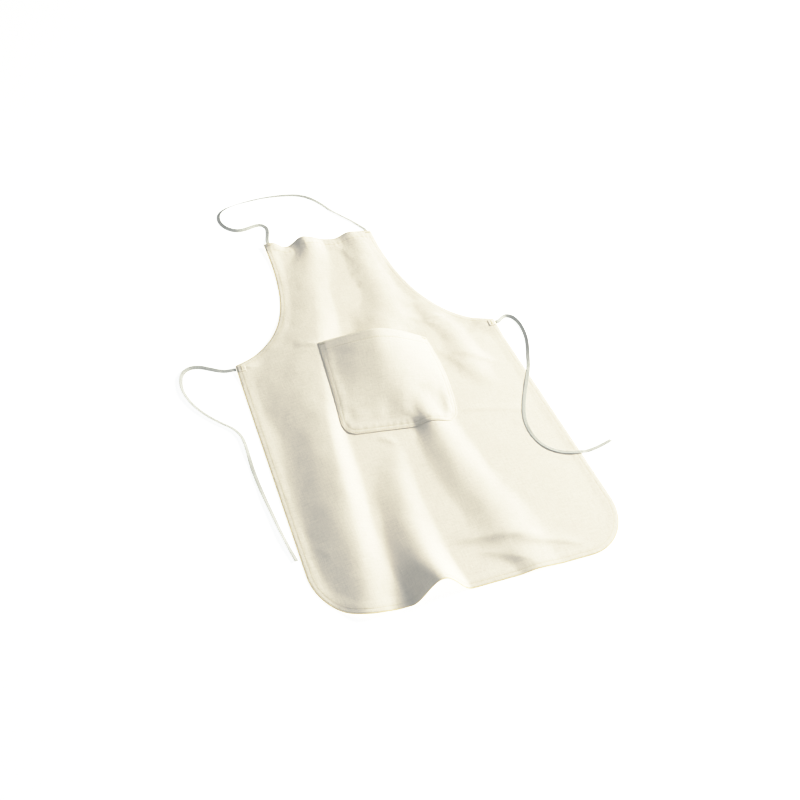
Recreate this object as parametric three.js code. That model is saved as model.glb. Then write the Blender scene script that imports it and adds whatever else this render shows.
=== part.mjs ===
// A bib apron of natural cotton canvas, laid out face up on a table.
// Units are millimetres and +Z is up. The origin is at table height, below the middle of the laid cloth:
// +Y runs towards the bib and +X towards the wearer's left hand.
// Every cloth piece is first a flat pattern (u across, v up from the hem) and is then laid in its folds.
import * as THREE from 'three';
import { mergeVertices } from 'three/addons/utils/BufferGeometryUtils.js';

// ---------- driving dimensions: the cut cloth ----------
const SKIRT_HEIGHT = 474;
const BIB_HEIGHT = 270;
const HEM_LINE_WIDTH = 500;
const WAIST_WIDTH = 466;
const BIB_TOP_WIDTH = 212;
const HEM_CORNER_RADIUS = 80;
const ARMHOLE_WAIST_ANGLE = 17;
const ARMHOLE_WAIST_REACH = 76;
const ARMHOLE_BIB_REACH = 170;
const CLOTH = 0.7;

// ---------- driving dimensions: hems, seams and trim ----------
const SIDE_HEM_WIDTH = 9;
const BIB_HEM_WIDTH = 18;
const BIB_STITCH_INSET = 16;
const HEM_THICKNESS = 1.8;
const THREAD_WIDTH = 0.8;
const THREAD_THICKNESS = 0.35;
const STITCH_INSET = 7.5;
const GAP = 0.3;
const TACK_LENGTH = 8;
const TACK_WIDTH = 2.2;
const TACK_THICKNESS = 0.5;
const CORNER_PATCH_SIZE = 13;
const CORNER_PATCH_INSET = 1;

// ---------- driving dimensions: the patch pocket ----------
const POCKET_WIDTH = 190;
const POCKET_HEIGHT = 184;
const POCKET_CORNER_RADIUS = 24;
const POCKET_TILT = -6;
const POCKET_MOUTH_X = 3;
const POCKET_BELOW_WAIST = 2;
const POCKET_MOUTH_HEM = 20;
const POCKET_MOUTH_STITCH_INSET = 18;
const POCKET_BULGE = 25;
const POCKET_CREST = 0.16;
const POCKET_BELLY = 9;
const POCKET_LAYER_GAP = 1.15;
const TURNED_EDGE_WIDTH = 10;
const POCKET_THREAD_GAP = 0.7;
const SEAM_SPACING = 5;
const SEAM_INSET = 2.5;

// ---------- driving dimensions: the tapes ----------
const TAPE_WIDTH = 6;
const TAPE_THICKNESS = 0.9;
const TAPE_END_LENGTH = 11;
const TAPE_END_GAP = 0.6;
const NECK_TAPE_INSET = 5;
const TIE_BELOW_WAIST = 7;

// ---------- how the cloth lies ----------
const LAID_WAIST_WIDTH = 446;
const LAID_HEM_WIDTH = 466;
const LAID_BIB_WIDTH = 199;
const LAID_LENGTH_SHARE = 0.992;
const HEM_DRAW_IN = 10;
const HEM_DRAW_HEIGHT = 158;

// ---------- facets: about how large a cell of cloth or a length of tape is ----------
const PANEL_CELL_WIDTH = 12.5;
const PANEL_CELL_LENGTH = 18.8;
const POCKET_CELL_WIDTH = 9.5;
const POCKET_CELL_LENGTH = 17.5;
const POCKET_CORNER_CELL = 9.4;
const TAPE_STEP = 12;

// ---------- dimensions that follow ----------
const FLAT_LENGTH = SKIRT_HEIGHT + BIB_HEIGHT;
const LAID_LENGTH = FLAT_LENGTH * LAID_LENGTH_SHARE;
const WAIST_Y = SKIRT_HEIGHT * LAID_LENGTH_SHARE - LAID_LENGTH / 2;
const BIB_HEM_START = FLAT_LENGTH - BIB_HEM_WIDTH;
const POCKET_SEAM_LIFT = CLOTH + 2 * POCKET_LAYER_GAP;
const POCKET_TACK_LIFT = CLOTH + POCKET_THREAD_GAP + THREAD_THICKNESS + GAP;
const PANEL_COLUMNS = cellsIn(HEM_LINE_WIDTH, PANEL_CELL_WIDTH);
const POCKET_COLUMNS = cellsIn(POCKET_WIDTH, POCKET_CELL_WIDTH);

// An even number of cells, so that one line of them always runs down the middle
function cellsIn(length, cell) {
  return 2 * Math.max(1, Math.round(length / cell / 2));
}

const radians = THREE.MathUtils.degToRad;
const lerp = THREE.MathUtils.lerp;

// ---------- colours ----------
const canvas = material('#efe6d6', 0.95);
const hemCanvas = material('#f3e8cf', 0.95);
const thread = material('#e6d9bd', 0.8);
const tape = material('#dcdad2', 0.85);

function material(color, roughness) {
  return new THREE.MeshStandardMaterial({ color, roughness, metalness: 0 });
}

// ---------- long folds: each crest runs from the bib towards the hem ----------
// x and y place the crest, height is its rise, left and right are the widths of its two flanks
const FOLDS = [
  [ // from the bib's top, past the pocket's left edge, down the left of the skirt
    { y: 370, x: -22, height: 10, left: 26, right: 36 },
    { y: 300, x: -34, height: 5, left: 54, right: 44 },
    { y: 210, x: -60, height: 6.5, left: 70, right: 46 },
    { y: 110, x: -88, height: 11.5, left: 150, right: 52 },
    { y: 40, x: -106, height: 12, left: 126, right: 60 },
    { y: -50, x: -126, height: 13, left: 90, right: 36 },
    { y: -150, x: -142, height: 15, left: 84, right: 38 },
    { y: -240, x: -153, height: 15, left: 78, right: 44 },
    { y: -310, x: -164, height: 11.5, left: 62, right: 46 },
    { y: -369, x: -172, height: 8, left: 46, right: 46 },
  ],
  [ // grows from below the pocket to the hem's middle
    { y: -90, x: -42, height: 0, left: 36, right: 28 },
    { y: -140, x: -52, height: 4, left: 44, right: 32 },
    { y: -235, x: -71, height: 9, left: 54, right: 42 },
    { y: -300, x: -75, height: 15, left: 54, right: 44 },
    { y: -369, x: -71, height: 31, left: 46, right: 46 },
  ],
  [ // under the pocket's middle, then down the right of the skirt
    { y: 215, x: 24, height: 0, left: 40, right: 40 },
    { y: 110, x: 18, height: 8, left: 56, right: 54 },
    { y: 30, x: 16, height: 10, left: 58, right: 54 },
    { y: -50, x: 24, height: 12, left: 46, right: 48 },
    { y: -80, x: 29, height: 12, left: 32, right: 46 },
    { y: -110, x: 33, height: 9.5, left: 44, right: 46 },
    { y: -156, x: 40, height: 9, left: 52, right: 50 },
    { y: -232, x: 50, height: 7.5, left: 60, right: 58 },
    { y: -300, x: 60, height: 5.5, left: 54, right: 56 },
    { y: -369, x: 72, height: 5, left: 40, right: 50 },
  ],
  [ // a soft roll down the right of the bib
    { y: 370, x: 66, height: 7, left: 36, right: 40 },
    { y: 300, x: 68, height: 5.5, left: 46, right: 44 },
    { y: 210, x: 62, height: 6, left: 52, right: 48 },
    { y: 137, x: 56, height: 5, left: 50, right: 46 },
    { y: 80, x: 52, height: 0, left: 44, right: 44 },
  ],
  [ // the bib's left corner stands a little off the table
    { y: 370, x: -92, height: 5, left: 40, right: 34 },
    { y: 320, x: -100, height: 2.6, left: 40, right: 30 },
    { y: 260, x: -104, height: 0, left: 40, right: 30 },
  ],
  [ // and so does its right corner
    { y: 370, x: 98, height: 2.4, left: 26, right: 30 },
    { y: 320, x: 102, height: 0, left: 26, right: 30 },
  ],
  [ // a slack roll between the pocket and the right side
    { y: 200, x: 116, height: 0, left: 30, right: 30 },
    { y: 140, x: 132, height: 3, left: 34, right: 36 },
    { y: 80, x: 142, height: 3.6, left: 36, right: 38 },
    { y: 0, x: 150, height: 3, left: 38, right: 40 },
    { y: -70, x: 160, height: 0, left: 38, right: 40 },
  ],
];

// The two waist corners are tipped up a little where the ties pull at them
const WAIST_CORNER_RISE = 3.2;
const WAIST_CORNER_SPREAD = 46;

// Value of one column of a fold at a place along Y, on a smooth curve through its points
function along(points, key, y) {
  if (y >= points[0].y) return points[0][key];
  const last = points.length - 1;
  if (y <= points[last].y) return points[last][key];
  let i = 0;
  while (y < points[i + 1].y) i += 1;
  const slope = (a, b) => (points[b][key] - points[a][key]) / (points[b].y - points[a].y);
  const slopeAt = (k) => (k === 0 || k === last ? 0 : slope(k - 1, k + 1));
  const span = points[i + 1].y - points[i].y;
  const t = (y - points[i].y) / span;
  const t2 = t * t;
  const t3 = t2 * t;
  const from = points[i][key] * (2 * t3 - 3 * t2 + 1) + slopeAt(i) * span * (t3 - 2 * t2 + t);
  const to = points[i + 1][key] * (3 * t2 - 2 * t3) + slopeAt(i + 1) * span * (t3 - t2);
  return from + to;
}

// A round hump, 1 at its middle and 0 at its rim
function hump(distance, reach) {
  const share = Math.abs(distance) / reach;
  return share >= 1 ? 0 : 0.5 * (1 + Math.cos(Math.PI * share));
}

// Height of the cloth's underside over the table
function foldHeight(x, y) {
  let height = 0;
  for (const points of FOLDS) {
    const offset = x - along(points, 'x', y);
    const reach = along(points, offset < 0 ? 'left' : 'right', y);
    height += Math.max(along(points, 'height', y), 0) * hump(offset, reach);
  }
  const cornerX = LAID_WAIST_WIDTH / 2 - Math.abs(x);
  const cornerDistance = Math.hypot(cornerX, y - WAIST_Y);
  return height + WAIST_CORNER_RISE * hump(cornerDistance, WAIST_CORNER_SPREAD);
}

// Half the laid width for each unit of half the cut width, at a height on the pattern
function widthShare(v) {
  const hem = LAID_HEM_WIDTH / HEM_LINE_WIDTH;
  const waist = LAID_WAIST_WIDTH / WAIST_WIDTH;
  const bib = LAID_BIB_WIDTH / BIB_TOP_WIDTH;
  if (v < SKIRT_HEIGHT) return lerp(hem, waist, v / SKIRT_HEIGHT);
  return lerp(waist, bib, (v - SKIRT_HEIGHT) / BIB_HEIGHT);
}

// How far apart two heights are taken to find the fold surface's slope
const SLOPE_STEP = 0.5;

// Lays a pattern point: the folds lift it, and lift counts outward from the cloth's underside
function lay(u, v, lift) {
  const x = u * widthShare(v);
  const flatY = v * LAID_LENGTH_SHARE - LAID_LENGTH / 2;
  const hemFold = FOLDS[1][FOLDS[1].length - 1];
  const drawn = HEM_DRAW_IN * hump(x - hemFold.x, hemFold.left) * hump(v, HEM_DRAW_HEIGHT);
  return onFold(x, flatY + drawn, lift);
}

// A point over the fold surface, lifted along the surface's normal
function onFold(x, y, lift) {
  const step = SLOPE_STEP;
  const slopeX = (foldHeight(x + step, y) - foldHeight(x - step, y)) / (2 * step);
  const slopeY = (foldHeight(x, y + step) - foldHeight(x, y - step)) / (2 * step);
  const normal = new THREE.Vector3(-slopeX, -slopeY, 1).normalize();
  return new THREE.Vector3(x, y, foldHeight(x, y)).addScaledVector(normal, lift);
}

// ---------- edges: each is a path from the middle of the bottom up its right-hand side ----------
function apronEdge(inset) {
  const hem = HEM_LINE_WIDTH / 2 - inset;
  const waist = WAIST_WIDTH / 2 - inset;
  const angle = radians(ARMHOLE_WAIST_ANGLE);
  const waistV = SKIRT_HEIGHT - (inset * (1 - Math.sin(angle))) / Math.cos(angle);
  const top = BIB_HEM_START - GAP;
  const bib = BIB_TOP_WIDTH / 2 - inset;
  const radius = HEM_CORNER_RADIUS - inset;
  const path = new THREE.Path();
  path.absarc(hem - radius, HEM_CORNER_RADIUS, radius, -Math.PI / 2, 0);
  path.lineTo(waist, waistV);
  path.bezierCurveTo(
    waist - ARMHOLE_WAIST_REACH * Math.cos(angle),
    waistV + ARMHOLE_WAIST_REACH * Math.sin(angle),
    bib,
    top - ARMHOLE_BIB_REACH,
    bib,
    top,
  );
  return path;
}

function pocketEdge(inset) {
  const half = POCKET_WIDTH / 2 - inset;
  const radius = POCKET_CORNER_RADIUS - inset;
  const path = new THREE.Path();
  path.absarc(half - radius, POCKET_CORNER_RADIUS, radius, -Math.PI / 2, 0);
  path.lineTo(half, POCKET_HEIGHT - POCKET_MOUTH_HEM);
  path.lineTo(half, POCKET_HEIGHT);
  return path;
}

const CORNER = 0;
const SIDE = 1;
const ARMHOLE = 2;
const POCKET_MOUTH_ROWS = 2;
const rowsOn = (curve, cell) => Math.max(1, Math.round(curve.getLength() / cell));
const APRON_STEPS = apronEdge(0).curves.map((curve) => rowsOn(curve, PANEL_CELL_LENGTH));
const [pocketCorner, pocketSide] = pocketEdge(0).curves;
const POCKET_STEPS = [
  rowsOn(pocketCorner, POCKET_CORNER_CELL),
  rowsOn(pocketSide, POCKET_CELL_LENGTH),
  POCKET_MOUTH_ROWS,
];

// Points on one stretch of an edge, which can stop short of its ends
function stretch(path, steps, part, startGap = 0, endGap = 0) {
  const curve = path.curves[part];
  const length = curve.getLength();
  const points = [];
  for (let i = 0; i <= steps[part]; i += 1) {
    const t = THREE.MathUtils.clamp(i / steps[part], startGap / length, 1 - endGap / length);
    points.push(curve.getPoint(t));
  }
  return points;
}

function apronStretch(inset, part, startGap, endGap) {
  return stretch(apronEdge(inset), APRON_STEPS, part, startGap, endGap);
}

// Half of an edge, from the bottom to the top, as rows of a grid
function edgeRows(path, steps) {
  const rows = stretch(path, steps, CORNER);
  for (const part of [1, 2]) rows.push(...stretch(path, steps, part).slice(1));
  return rows;
}

function mirrored(points) {
  return points.map((point) => new THREE.Vector2(-point.x, point.y));
}

// A line from left to right round the bottom: the right-hand points, mirrored, and the straight between
function roundBottom(rightPoints, columns) {
  const start = rightPoints[0];
  const straight = [];
  for (let i = 1; i < columns; i += 1) {
    const share = (2 * i) / columns - 1;
    straight.push(new THREE.Vector2(share * start.x, start.y));
  }
  return [...mirrored(rightPoints).reverse(), ...straight, ...rightPoints];
}

// ---------- solids: a block of cells, each of its corners moved to its place ----------
function shapedBlock(columns, rows, place) {
  const geometry = new THREE.BoxGeometry(1, 1, 1, columns, rows, 1);
  const position = geometry.getAttribute('position');
  for (let i = 0; i < position.count; i += 1) {
    const column = Math.round((position.getX(i) + 0.5) * columns);
    const row = Math.round((position.getY(i) + 0.5) * rows);
    const isTop = position.getZ(i) > 0;
    const point = place(column, row, isTop);
    position.setXYZ(i, point.x, point.y, point.z);
  }
  return outward(geometry);
}

// Merges a solid's shared corners and turns its faces outward
function outward(source) {
  source.deleteAttribute('normal');
  source.deleteAttribute('uv');
  const geometry = mergeVertices(source);
  const index = geometry.getIndex();
  const position = geometry.getAttribute('position');
  const corner = [new THREE.Vector3(), new THREE.Vector3(), new THREE.Vector3()];
  let volume = 0;
  for (let i = 0; i < index.count; i += 3) {
    corner.forEach((point, k) => point.fromBufferAttribute(position, index.getX(i + k)));
    volume += corner[0].dot(corner[1].clone().cross(corner[2]));
  }
  if (volume < 0) {
    for (let i = 0; i < index.count; i += 3) {
      const first = index.getX(i);
      index.setX(i, index.getX(i + 1));
      index.setX(i + 1, first);
    }
  }
  geometry.computeVertexNormals();
  return geometry;
}

// A strip of cloth between two matched lines of pattern points
function strip(outer, inner, lift, thickness, layDown = lay) {
  return shapedBlock(1, outer.length - 1, (column, row, isTop) => {
    const point = column === 0 ? outer[row] : inner[row];
    return layDown(point.x, point.y, lift + (isTop ? thickness : 0));
  });
}

// A line of thread on a band of cloth, between the band's two laid edges, so that it follows the band's facets
function threadLine(outer, inner, bandWidth, inset, lift, layDown = lay) {
  return shapedBlock(1, outer.length - 1, (column, row, isTop) => {
    const share = (inset + (column - 0.5) * THREAD_WIDTH) / bandWidth;
    const height = lift + (isTop ? THREAD_THICKNESS : 0);
    const start = layDown(outer[row].x, outer[row].y, height);
    return start.lerp(layDown(inner[row].x, inner[row].y, height), share);
  });
}

// ---------- the apron ----------
const apron = new THREE.Group();
apron.name = 'artist_apron';

function add(name, geometry, finish) {
  const mesh = new THREE.Mesh(geometry, finish);
  mesh.name = name;
  apron.add(mesh);
}

const SIDES = [
  { side: 'left', sign: -1, flip: mirrored },
  { side: 'right', sign: 1, flip: (points) => points },
];

// A cloth cut to an edge path, as a grid of cells between its left and right edges
function clothGrid(rows, columns, layAt) {
  return shapedBlock(columns, rows.length - 1, (column, row, isTop) => {
    const share = (2 * column) / columns - 1;
    return layAt(share * rows[row].x, rows[row].y, isTop ? CLOTH : 0);
  });
}

function addBodyPanel() {
  const rows = edgeRows(apronEdge(SIDE_HEM_WIDTH + GAP), APRON_STEPS);
  add('body_panel', clothGrid(rows, PANEL_COLUMNS, lay), canvas);
}

// A turned hem band and the line of stitches that holds it down
function addHem(name, stitchName, outer, inner, width, inset) {
  add(name, strip(outer, inner, 0, HEM_THICKNESS), hemCanvas);
  add(stitchName, threadLine(outer, inner, width, inset, HEM_THICKNESS + GAP), thread);
}

function addSkirtAndArmholeHems() {
  const cornerOuter = apronStretch(0, CORNER, 0, GAP);
  const cornerInner = apronStretch(SIDE_HEM_WIDTH, CORNER, 0, GAP);
  const bottomOuter = roundBottom(cornerOuter, PANEL_COLUMNS);
  const bottomInner = roundBottom(cornerInner, PANEL_COLUMNS);
  addHem('bottom_hem', 'bottom_hem_stitching', bottomOuter, bottomInner, SIDE_HEM_WIDTH, STITCH_INSET);
  for (const { side, flip } of SIDES) {
    const sideOuter = flip(apronStretch(0, SIDE, 0, GAP));
    const sideInner = flip(apronStretch(SIDE_HEM_WIDTH, SIDE, 0, GAP));
    addHem(`side_hem_${side}`, `side_hem_stitching_${side}`, sideOuter, sideInner,
      SIDE_HEM_WIDTH, STITCH_INSET);
    const armholeOuter = flip(apronStretch(0, ARMHOLE));
    const armholeInner = flip(apronStretch(SIDE_HEM_WIDTH, ARMHOLE));
    addHem(`armhole_hem_${side}`, `armhole_stitching_${side}`, armholeOuter, armholeInner,
      SIDE_HEM_WIDTH, STITCH_INSET);
  }
}

// A level line of pattern points across a width
function levelLine(halfWidth, v, columns) {
  const points = [];
  for (let i = 0; i <= columns; i += 1) {
    points.push(new THREE.Vector2(halfWidth * ((2 * i) / columns - 1), v));
  }
  return points;
}

function addBibHem() {
  const outer = levelLine(BIB_TOP_WIDTH / 2, FLAT_LENGTH, PANEL_COLUMNS);
  const inner = levelLine(BIB_TOP_WIDTH / 2, BIB_HEM_START, PANEL_COLUMNS);
  addHem('bib_top_hem', 'bib_hem_stitching', outer, inner, BIB_HEM_WIDTH, BIB_STITCH_INSET);
}

// ---------- the pocket, placed by the middle of its mouth ----------
// Its right side bows out towards the middle of its height
function layPocket(p, q, lift) {
  const tilt = radians(POCKET_TILT);
  const rightShare = Math.max((2 * p) / POCKET_WIDTH, 0);
  const belly = POCKET_BELLY * rightShare ** 2 * Math.sin(Math.PI * (q / POCKET_HEIGHT));
  const across = p * widthShare(SKIRT_HEIGHT) + belly;
  const down = q - POCKET_HEIGHT;
  const x = POCKET_MOUTH_X + across * Math.cos(tilt) - down * Math.sin(tilt);
  const y = WAIST_Y - POCKET_BELOW_WAIST + across * Math.sin(tilt) + down * Math.cos(tilt);
  return onFold(x, y, CLOTH + lift);
}

// The pocket's front stands up like a tent with its ridge at the crest, and is open at its mouth
function layPocketFront(p, q, lift) {
  const place = (2 * p) / POCKET_WIDTH;
  const flank = place < POCKET_CREST ? 1 + POCKET_CREST : 1 - POCKET_CREST;
  const across = Math.cos(((Math.PI / 2) * Math.min(Math.abs(place - POCKET_CREST), flank)) / flank);
  const upward = Math.sin((Math.PI / 2) * (q / POCKET_HEIGHT));
  const point = layPocket(p, q, POCKET_SEAM_LIFT + lift);
  point.z += POCKET_BULGE * across * upward;
  return point;
}

function addPocket() {
  const rows = edgeRows(pocketEdge(0), POCKET_STEPS);
  add('pocket_front', clothGrid(rows, POCKET_COLUMNS, layPocketFront), canvas);

  const edgeAt = (inset) => roundBottom(edgeRows(pocketEdge(inset), POCKET_STEPS), POCKET_COLUMNS);
  const outer = edgeAt(0);
  const inner = edgeAt(TURNED_EDGE_WIDTH);
  add('pocket_turned_edge', strip(outer, inner, POCKET_LAYER_GAP, CLOTH, layPocket), hemCanvas);
  for (const [name, inset] of [['outer', SEAM_INSET], ['inner', SEAM_INSET + SEAM_SPACING]]) {
    add(`pocket_${name}_stitching`, threadLine(outer, inner, TURNED_EDGE_WIDTH, inset,
      CLOTH + POCKET_THREAD_GAP, layPocketFront), thread);
  }
}

function addPocketMouthHem() {
  const columns = POCKET_COLUMNS - 2;
  const half = (POCKET_WIDTH / 2) * (columns / POCKET_COLUMNS);
  const rows = [];
  for (let i = 0; i <= POCKET_MOUTH_ROWS; i += 1) {
    const q = POCKET_HEIGHT - POCKET_MOUTH_HEM * (1 - i / POCKET_MOUTH_ROWS);
    rows.push(new THREE.Vector2(half, q));
  }
  const under = (p, q, lift) => layPocketFront(p, q, lift - CLOTH - GAP);
  add('pocket_mouth_hem', clothGrid(rows, columns, under), hemCanvas);
  const top = levelLine(half, POCKET_HEIGHT, columns);
  const bottom = levelLine(half, POCKET_HEIGHT - POCKET_MOUTH_HEM, columns);
  add('pocket_mouth_stitching', threadLine(top, bottom, POCKET_MOUTH_HEM,
    POCKET_MOUTH_STITCH_INSET, CLOTH + GAP, layPocketFront), thread);
}

// ---------- small rectangles of cloth, tape or thread ----------
// low and high are opposite corners on the pattern
function patch(low, high, lift, thickness, layAt = lay) {
  return shapedBlock(2, 2, (column, row, isTop) => layAt(
    lerp(low.x, high.x, column / 2),
    lerp(low.y, high.y, row / 2),
    lift + (isTop ? thickness : 0),
  ));
}

function centredPatch(u, v, width, height, lift, thickness, layAt) {
  const low = new THREE.Vector2(u - width / 2, v - height / 2);
  const high = new THREE.Vector2(u + width / 2, v + height / 2);
  return patch(low, high, lift, thickness, layAt);
}

const NECK_TAPE_U = BIB_TOP_WIDTH / 2 - NECK_TAPE_INSET - TAPE_WIDTH / 2;
const TIE_V = SKIRT_HEIGHT - TIE_BELOW_WAIST;
const UNDER_CLOTH = -(TAPE_END_GAP + TAPE_THICKNESS);
const ON_HEM = HEM_THICKNESS + GAP;
const ON_HEM_STITCHES = ON_HEM + THREAD_THICKNESS + GAP;

function addTapeEndsAndTacks() {
  const pocketCornerP = POCKET_WIDTH / 2 - SEAM_INSET - TACK_LENGTH / 2;
  const pocketTackQ = POCKET_HEIGHT - SEAM_INSET - TACK_WIDTH;
  for (const { side, sign } of SIDES) {
    const neckEndV = FLAT_LENGTH - TAPE_END_LENGTH / 2;
    add(`neck_tape_end_${side}`, centredPatch(sign * NECK_TAPE_U, neckEndV,
      TAPE_WIDTH, TAPE_END_LENGTH, UNDER_CLOTH, TAPE_THICKNESS), tape);
    add(`neck_tack_${side}`, centredPatch(sign * NECK_TAPE_U, neckEndV,
      TACK_LENGTH, TACK_WIDTH, ON_HEM, TACK_THICKNESS), thread);
    const tieEndU = sign * (WAIST_WIDTH / 2 - TAPE_END_LENGTH / 2);
    add(`tie_end_${side}`, centredPatch(tieEndU, TIE_V,
      TAPE_END_LENGTH, TAPE_WIDTH, UNDER_CLOTH, TAPE_THICKNESS), tape);
    const patchMiddle = CORNER_PATCH_INSET + CORNER_PATCH_SIZE / 2;
    add(`waist_corner_patch_${side}`, centredPatch(sign * (WAIST_WIDTH / 2 - patchMiddle),
      SKIRT_HEIGHT - patchMiddle, CORNER_PATCH_SIZE, CORNER_PATCH_SIZE, ON_HEM_STITCHES, CLOTH), hemCanvas);
    add(`tie_tack_${side}`, centredPatch(sign * (WAIST_WIDTH / 2 - patchMiddle), SKIRT_HEIGHT - patchMiddle,
      TACK_WIDTH, TACK_LENGTH, ON_HEM_STITCHES + CLOTH + GAP, TACK_THICKNESS), thread);
    add(`pocket_tack_${side}`, centredPatch(sign * pocketCornerP, pocketTackQ,
      TACK_LENGTH, TACK_WIDTH, POCKET_TACK_LIFT, TACK_THICKNESS, layPocketFront), thread);
  }
}

// ---------- the tapes: each route runs from its sewn end ----------
const NECK_ROUTE = [
  [-91.5, 369.6, 3.4], [-89.5, 381, 3.4], [-86, 393, 3.2], [-82, 406, 3.2], [-80.5, 418, 3.2],
  [-87, 427.5, 3.2], [-99, 427, 3.2], [-114, 422, 3.2], [-132, 420, 3.2], [-148, 430, 3.2],
  [-156, 448, 3.2], [-154, 468, 3.2], [-142, 482, 3.2], [-121, 491, 3], [-98, 497, 2.4],
  [-70, 502, 1.6], [-40, 504, 1.2], [-10, 502, 1.2], [10, 495, 1.2], [27, 481, 1.2],
  [39, 463, 1.2], [49, 443, 1.2], [62, 425, 1.2], [76, 406, 1.2], [87, 388, 1.4], [91.5, 378, 1.9],
  [92, 369.6, 2.2],
];
const LEFT_TIE_ROUTE = [
  [-223.8, 94.3, 2.6], [-236, 95.5, 2.6], [-248, 99.5, 2], [-262, 107, 1.4], [-277, 114.5, 1.6],
  [-292, 115, 2.2], [-304, 106, 3], [-310, 90, 3.2], [-311, 70, 3.2], [-306, 49, 3.2],
  [-298, 31, 3.2], [-287, 14, 3.2], [-273, -3, 3.2], [-259, -18, 3.2], [-251.5, -34, 3],
  [-250, -52, 2.2], [-251, -75, 1.4], [-252, -98, 1.2], [-251.5, -126, 1.2], [-250, -154, 1.4],
  [-248, -180, 2], [-246, -206, 3], [-243, -234, 3.2], [-239, -261, 3.2],
];
const RIGHT_TIE_ROUTE = [
  [224.4, 94.3, 2.6], [230.5, 95.2, 2.6], [238, 100.5, 2.6], [248, 105, 3], [257.5, 100, 3.2],
  [263, 85, 3.2], [263, 68, 3.2], [259.5, 48, 3.2], [252, 27, 3.4], [243, 7, 4.2],
  [235, -11, 5.2], [224, -29.5, 5.6], [211.5, -49, 5.2], [198.5, -70, 4.6], [185.5, -93, 4.2],
  [176, -117, 4], [173, -141, 4], [177, -163, 4], [188.5, -180.5, 4.2], [205, -191.5, 5],
  [222, -197, 5.6], [238, -199, 5], [255, -198, 3.2], [273, -194.5, 2.2], [290, -190, 1.6],
];

// A flat tape along a route. Its section is an octagon: a rectangle with its corners cut
function tapeAlong(points) {
  const route = new THREE.CatmullRomCurve3(points.map(([x, y, z]) => new THREE.Vector3(x, y, z)),
    false, 'centripetal');
  const w = TAPE_WIDTH / 2;
  const t = TAPE_THICKNESS / 2;
  const cut = TAPE_THICKNESS / 4;
  const section = new THREE.Shape([
    new THREE.Vector2(t, w - cut), new THREE.Vector2(t - cut, w),
    new THREE.Vector2(cut - t, w), new THREE.Vector2(-t, w - cut),
    new THREE.Vector2(-t, cut - w), new THREE.Vector2(cut - t, -w),
    new THREE.Vector2(t - cut, -w), new THREE.Vector2(t, cut - w),
  ]);
  const steps = Math.round(route.getLength() / TAPE_STEP);
  return outward(new THREE.ExtrudeGeometry(section, { steps, bevelEnabled: false, extrudePath: route }));
}

addBodyPanel();
addSkirtAndArmholeHems();
addBibHem();
addPocket();
addPocketMouthHem();
addTapeEndsAndTacks();
add('neck_loop', tapeAlong(NECK_ROUTE), tape);
add('waist_tie_left', tapeAlong(LEFT_TIE_ROUTE), tape);
add('waist_tie_right', tapeAlong(RIGHT_TIE_ROUTE), tape);

export default apron;
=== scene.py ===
"""A bib apron of natural canvas, laid face up on a table in its folds, with pocket and tapes."""

import math
from functools import partial

import bmesh
import bpy
import numpy as np
from mathutils import Matrix, Vector


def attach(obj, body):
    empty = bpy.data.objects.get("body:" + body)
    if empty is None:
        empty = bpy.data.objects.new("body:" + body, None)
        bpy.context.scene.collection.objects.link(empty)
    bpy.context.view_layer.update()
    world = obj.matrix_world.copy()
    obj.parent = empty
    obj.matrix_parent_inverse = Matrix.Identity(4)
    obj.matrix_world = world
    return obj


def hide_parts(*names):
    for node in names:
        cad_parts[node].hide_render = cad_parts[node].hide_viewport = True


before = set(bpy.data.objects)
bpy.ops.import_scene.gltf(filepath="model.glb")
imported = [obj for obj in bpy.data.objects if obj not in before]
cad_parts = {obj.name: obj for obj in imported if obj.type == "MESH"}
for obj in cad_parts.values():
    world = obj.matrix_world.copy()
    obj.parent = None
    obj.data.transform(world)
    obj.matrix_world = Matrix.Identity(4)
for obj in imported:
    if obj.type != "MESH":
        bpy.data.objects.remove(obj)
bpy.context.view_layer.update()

bl_info = {
    "name": "Canvas Bib Apron",
    "version": (1, 0, 0),
    "blender": (4, 5, 0),
    "location": "View3D > Sidebar > Apron",
    "description": "Builds a laid-out canvas bib apron, piece by piece",
    "category": "Object",
}

MM = 0.001
BODY = "root"

# ------------------------------------ the cut, in millimetres
SKIRT_HEIGHT = 474.0
BIB_HEIGHT = 270.0
HEM_LINE_WIDTH = 500.0
WAIST_WIDTH = 466.0
BIB_TOP_WIDTH = 212.0
HEM_CORNER_RADIUS = 80.0
ARMHOLE_WAIST_ANGLE = math.radians(17)
ARMHOLE_WAIST_REACH = 76.0
ARMHOLE_BIB_REACH = 170.0
BIB_HEM_WIDTH = 18.0
SIDE_HEM_WIDTH = 9.0
POCKET_WIDTH = 190.0
POCKET_HEIGHT = 184.0
POCKET_CORNER_RADIUS = 24.0
POCKET_TILT = math.radians(-6)
POCKET_MOUTH_X = 3.0
POCKET_BELOW_WAIST = 2.0
POCKET_MOUTH_HEM = 20.0
POCKET_TURNED_WIDTH = 10.0
CORNER_PATCH = 13.0
TAPE_END_LENGTH = 11.0

FLAT_LENGTH = SKIRT_HEIGHT + BIB_HEIGHT
LAID_LENGTH_SHARE = 0.992
LAID_LENGTH = FLAT_LENGTH * LAID_LENGTH_SHARE
LAID_HEM_WIDTH = 466.0
LAID_WAIST_WIDTH = 446.0
LAID_BIB_WIDTH = 199.0
HEM_DRAW_IN = 10.0
HEM_DRAW_HEIGHT = 158.0
WAIST_Y = SKIRT_HEIGHT * LAID_LENGTH_SHARE - LAID_LENGTH / 2

# ------------------------------------ how the layers stack, in millimetres
CANVAS_THICKNESS = 0.6
TURNED_LAYERS = 0.62
HEM_RAMP = 13.0
PANEL_INSET = 1.45
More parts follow.
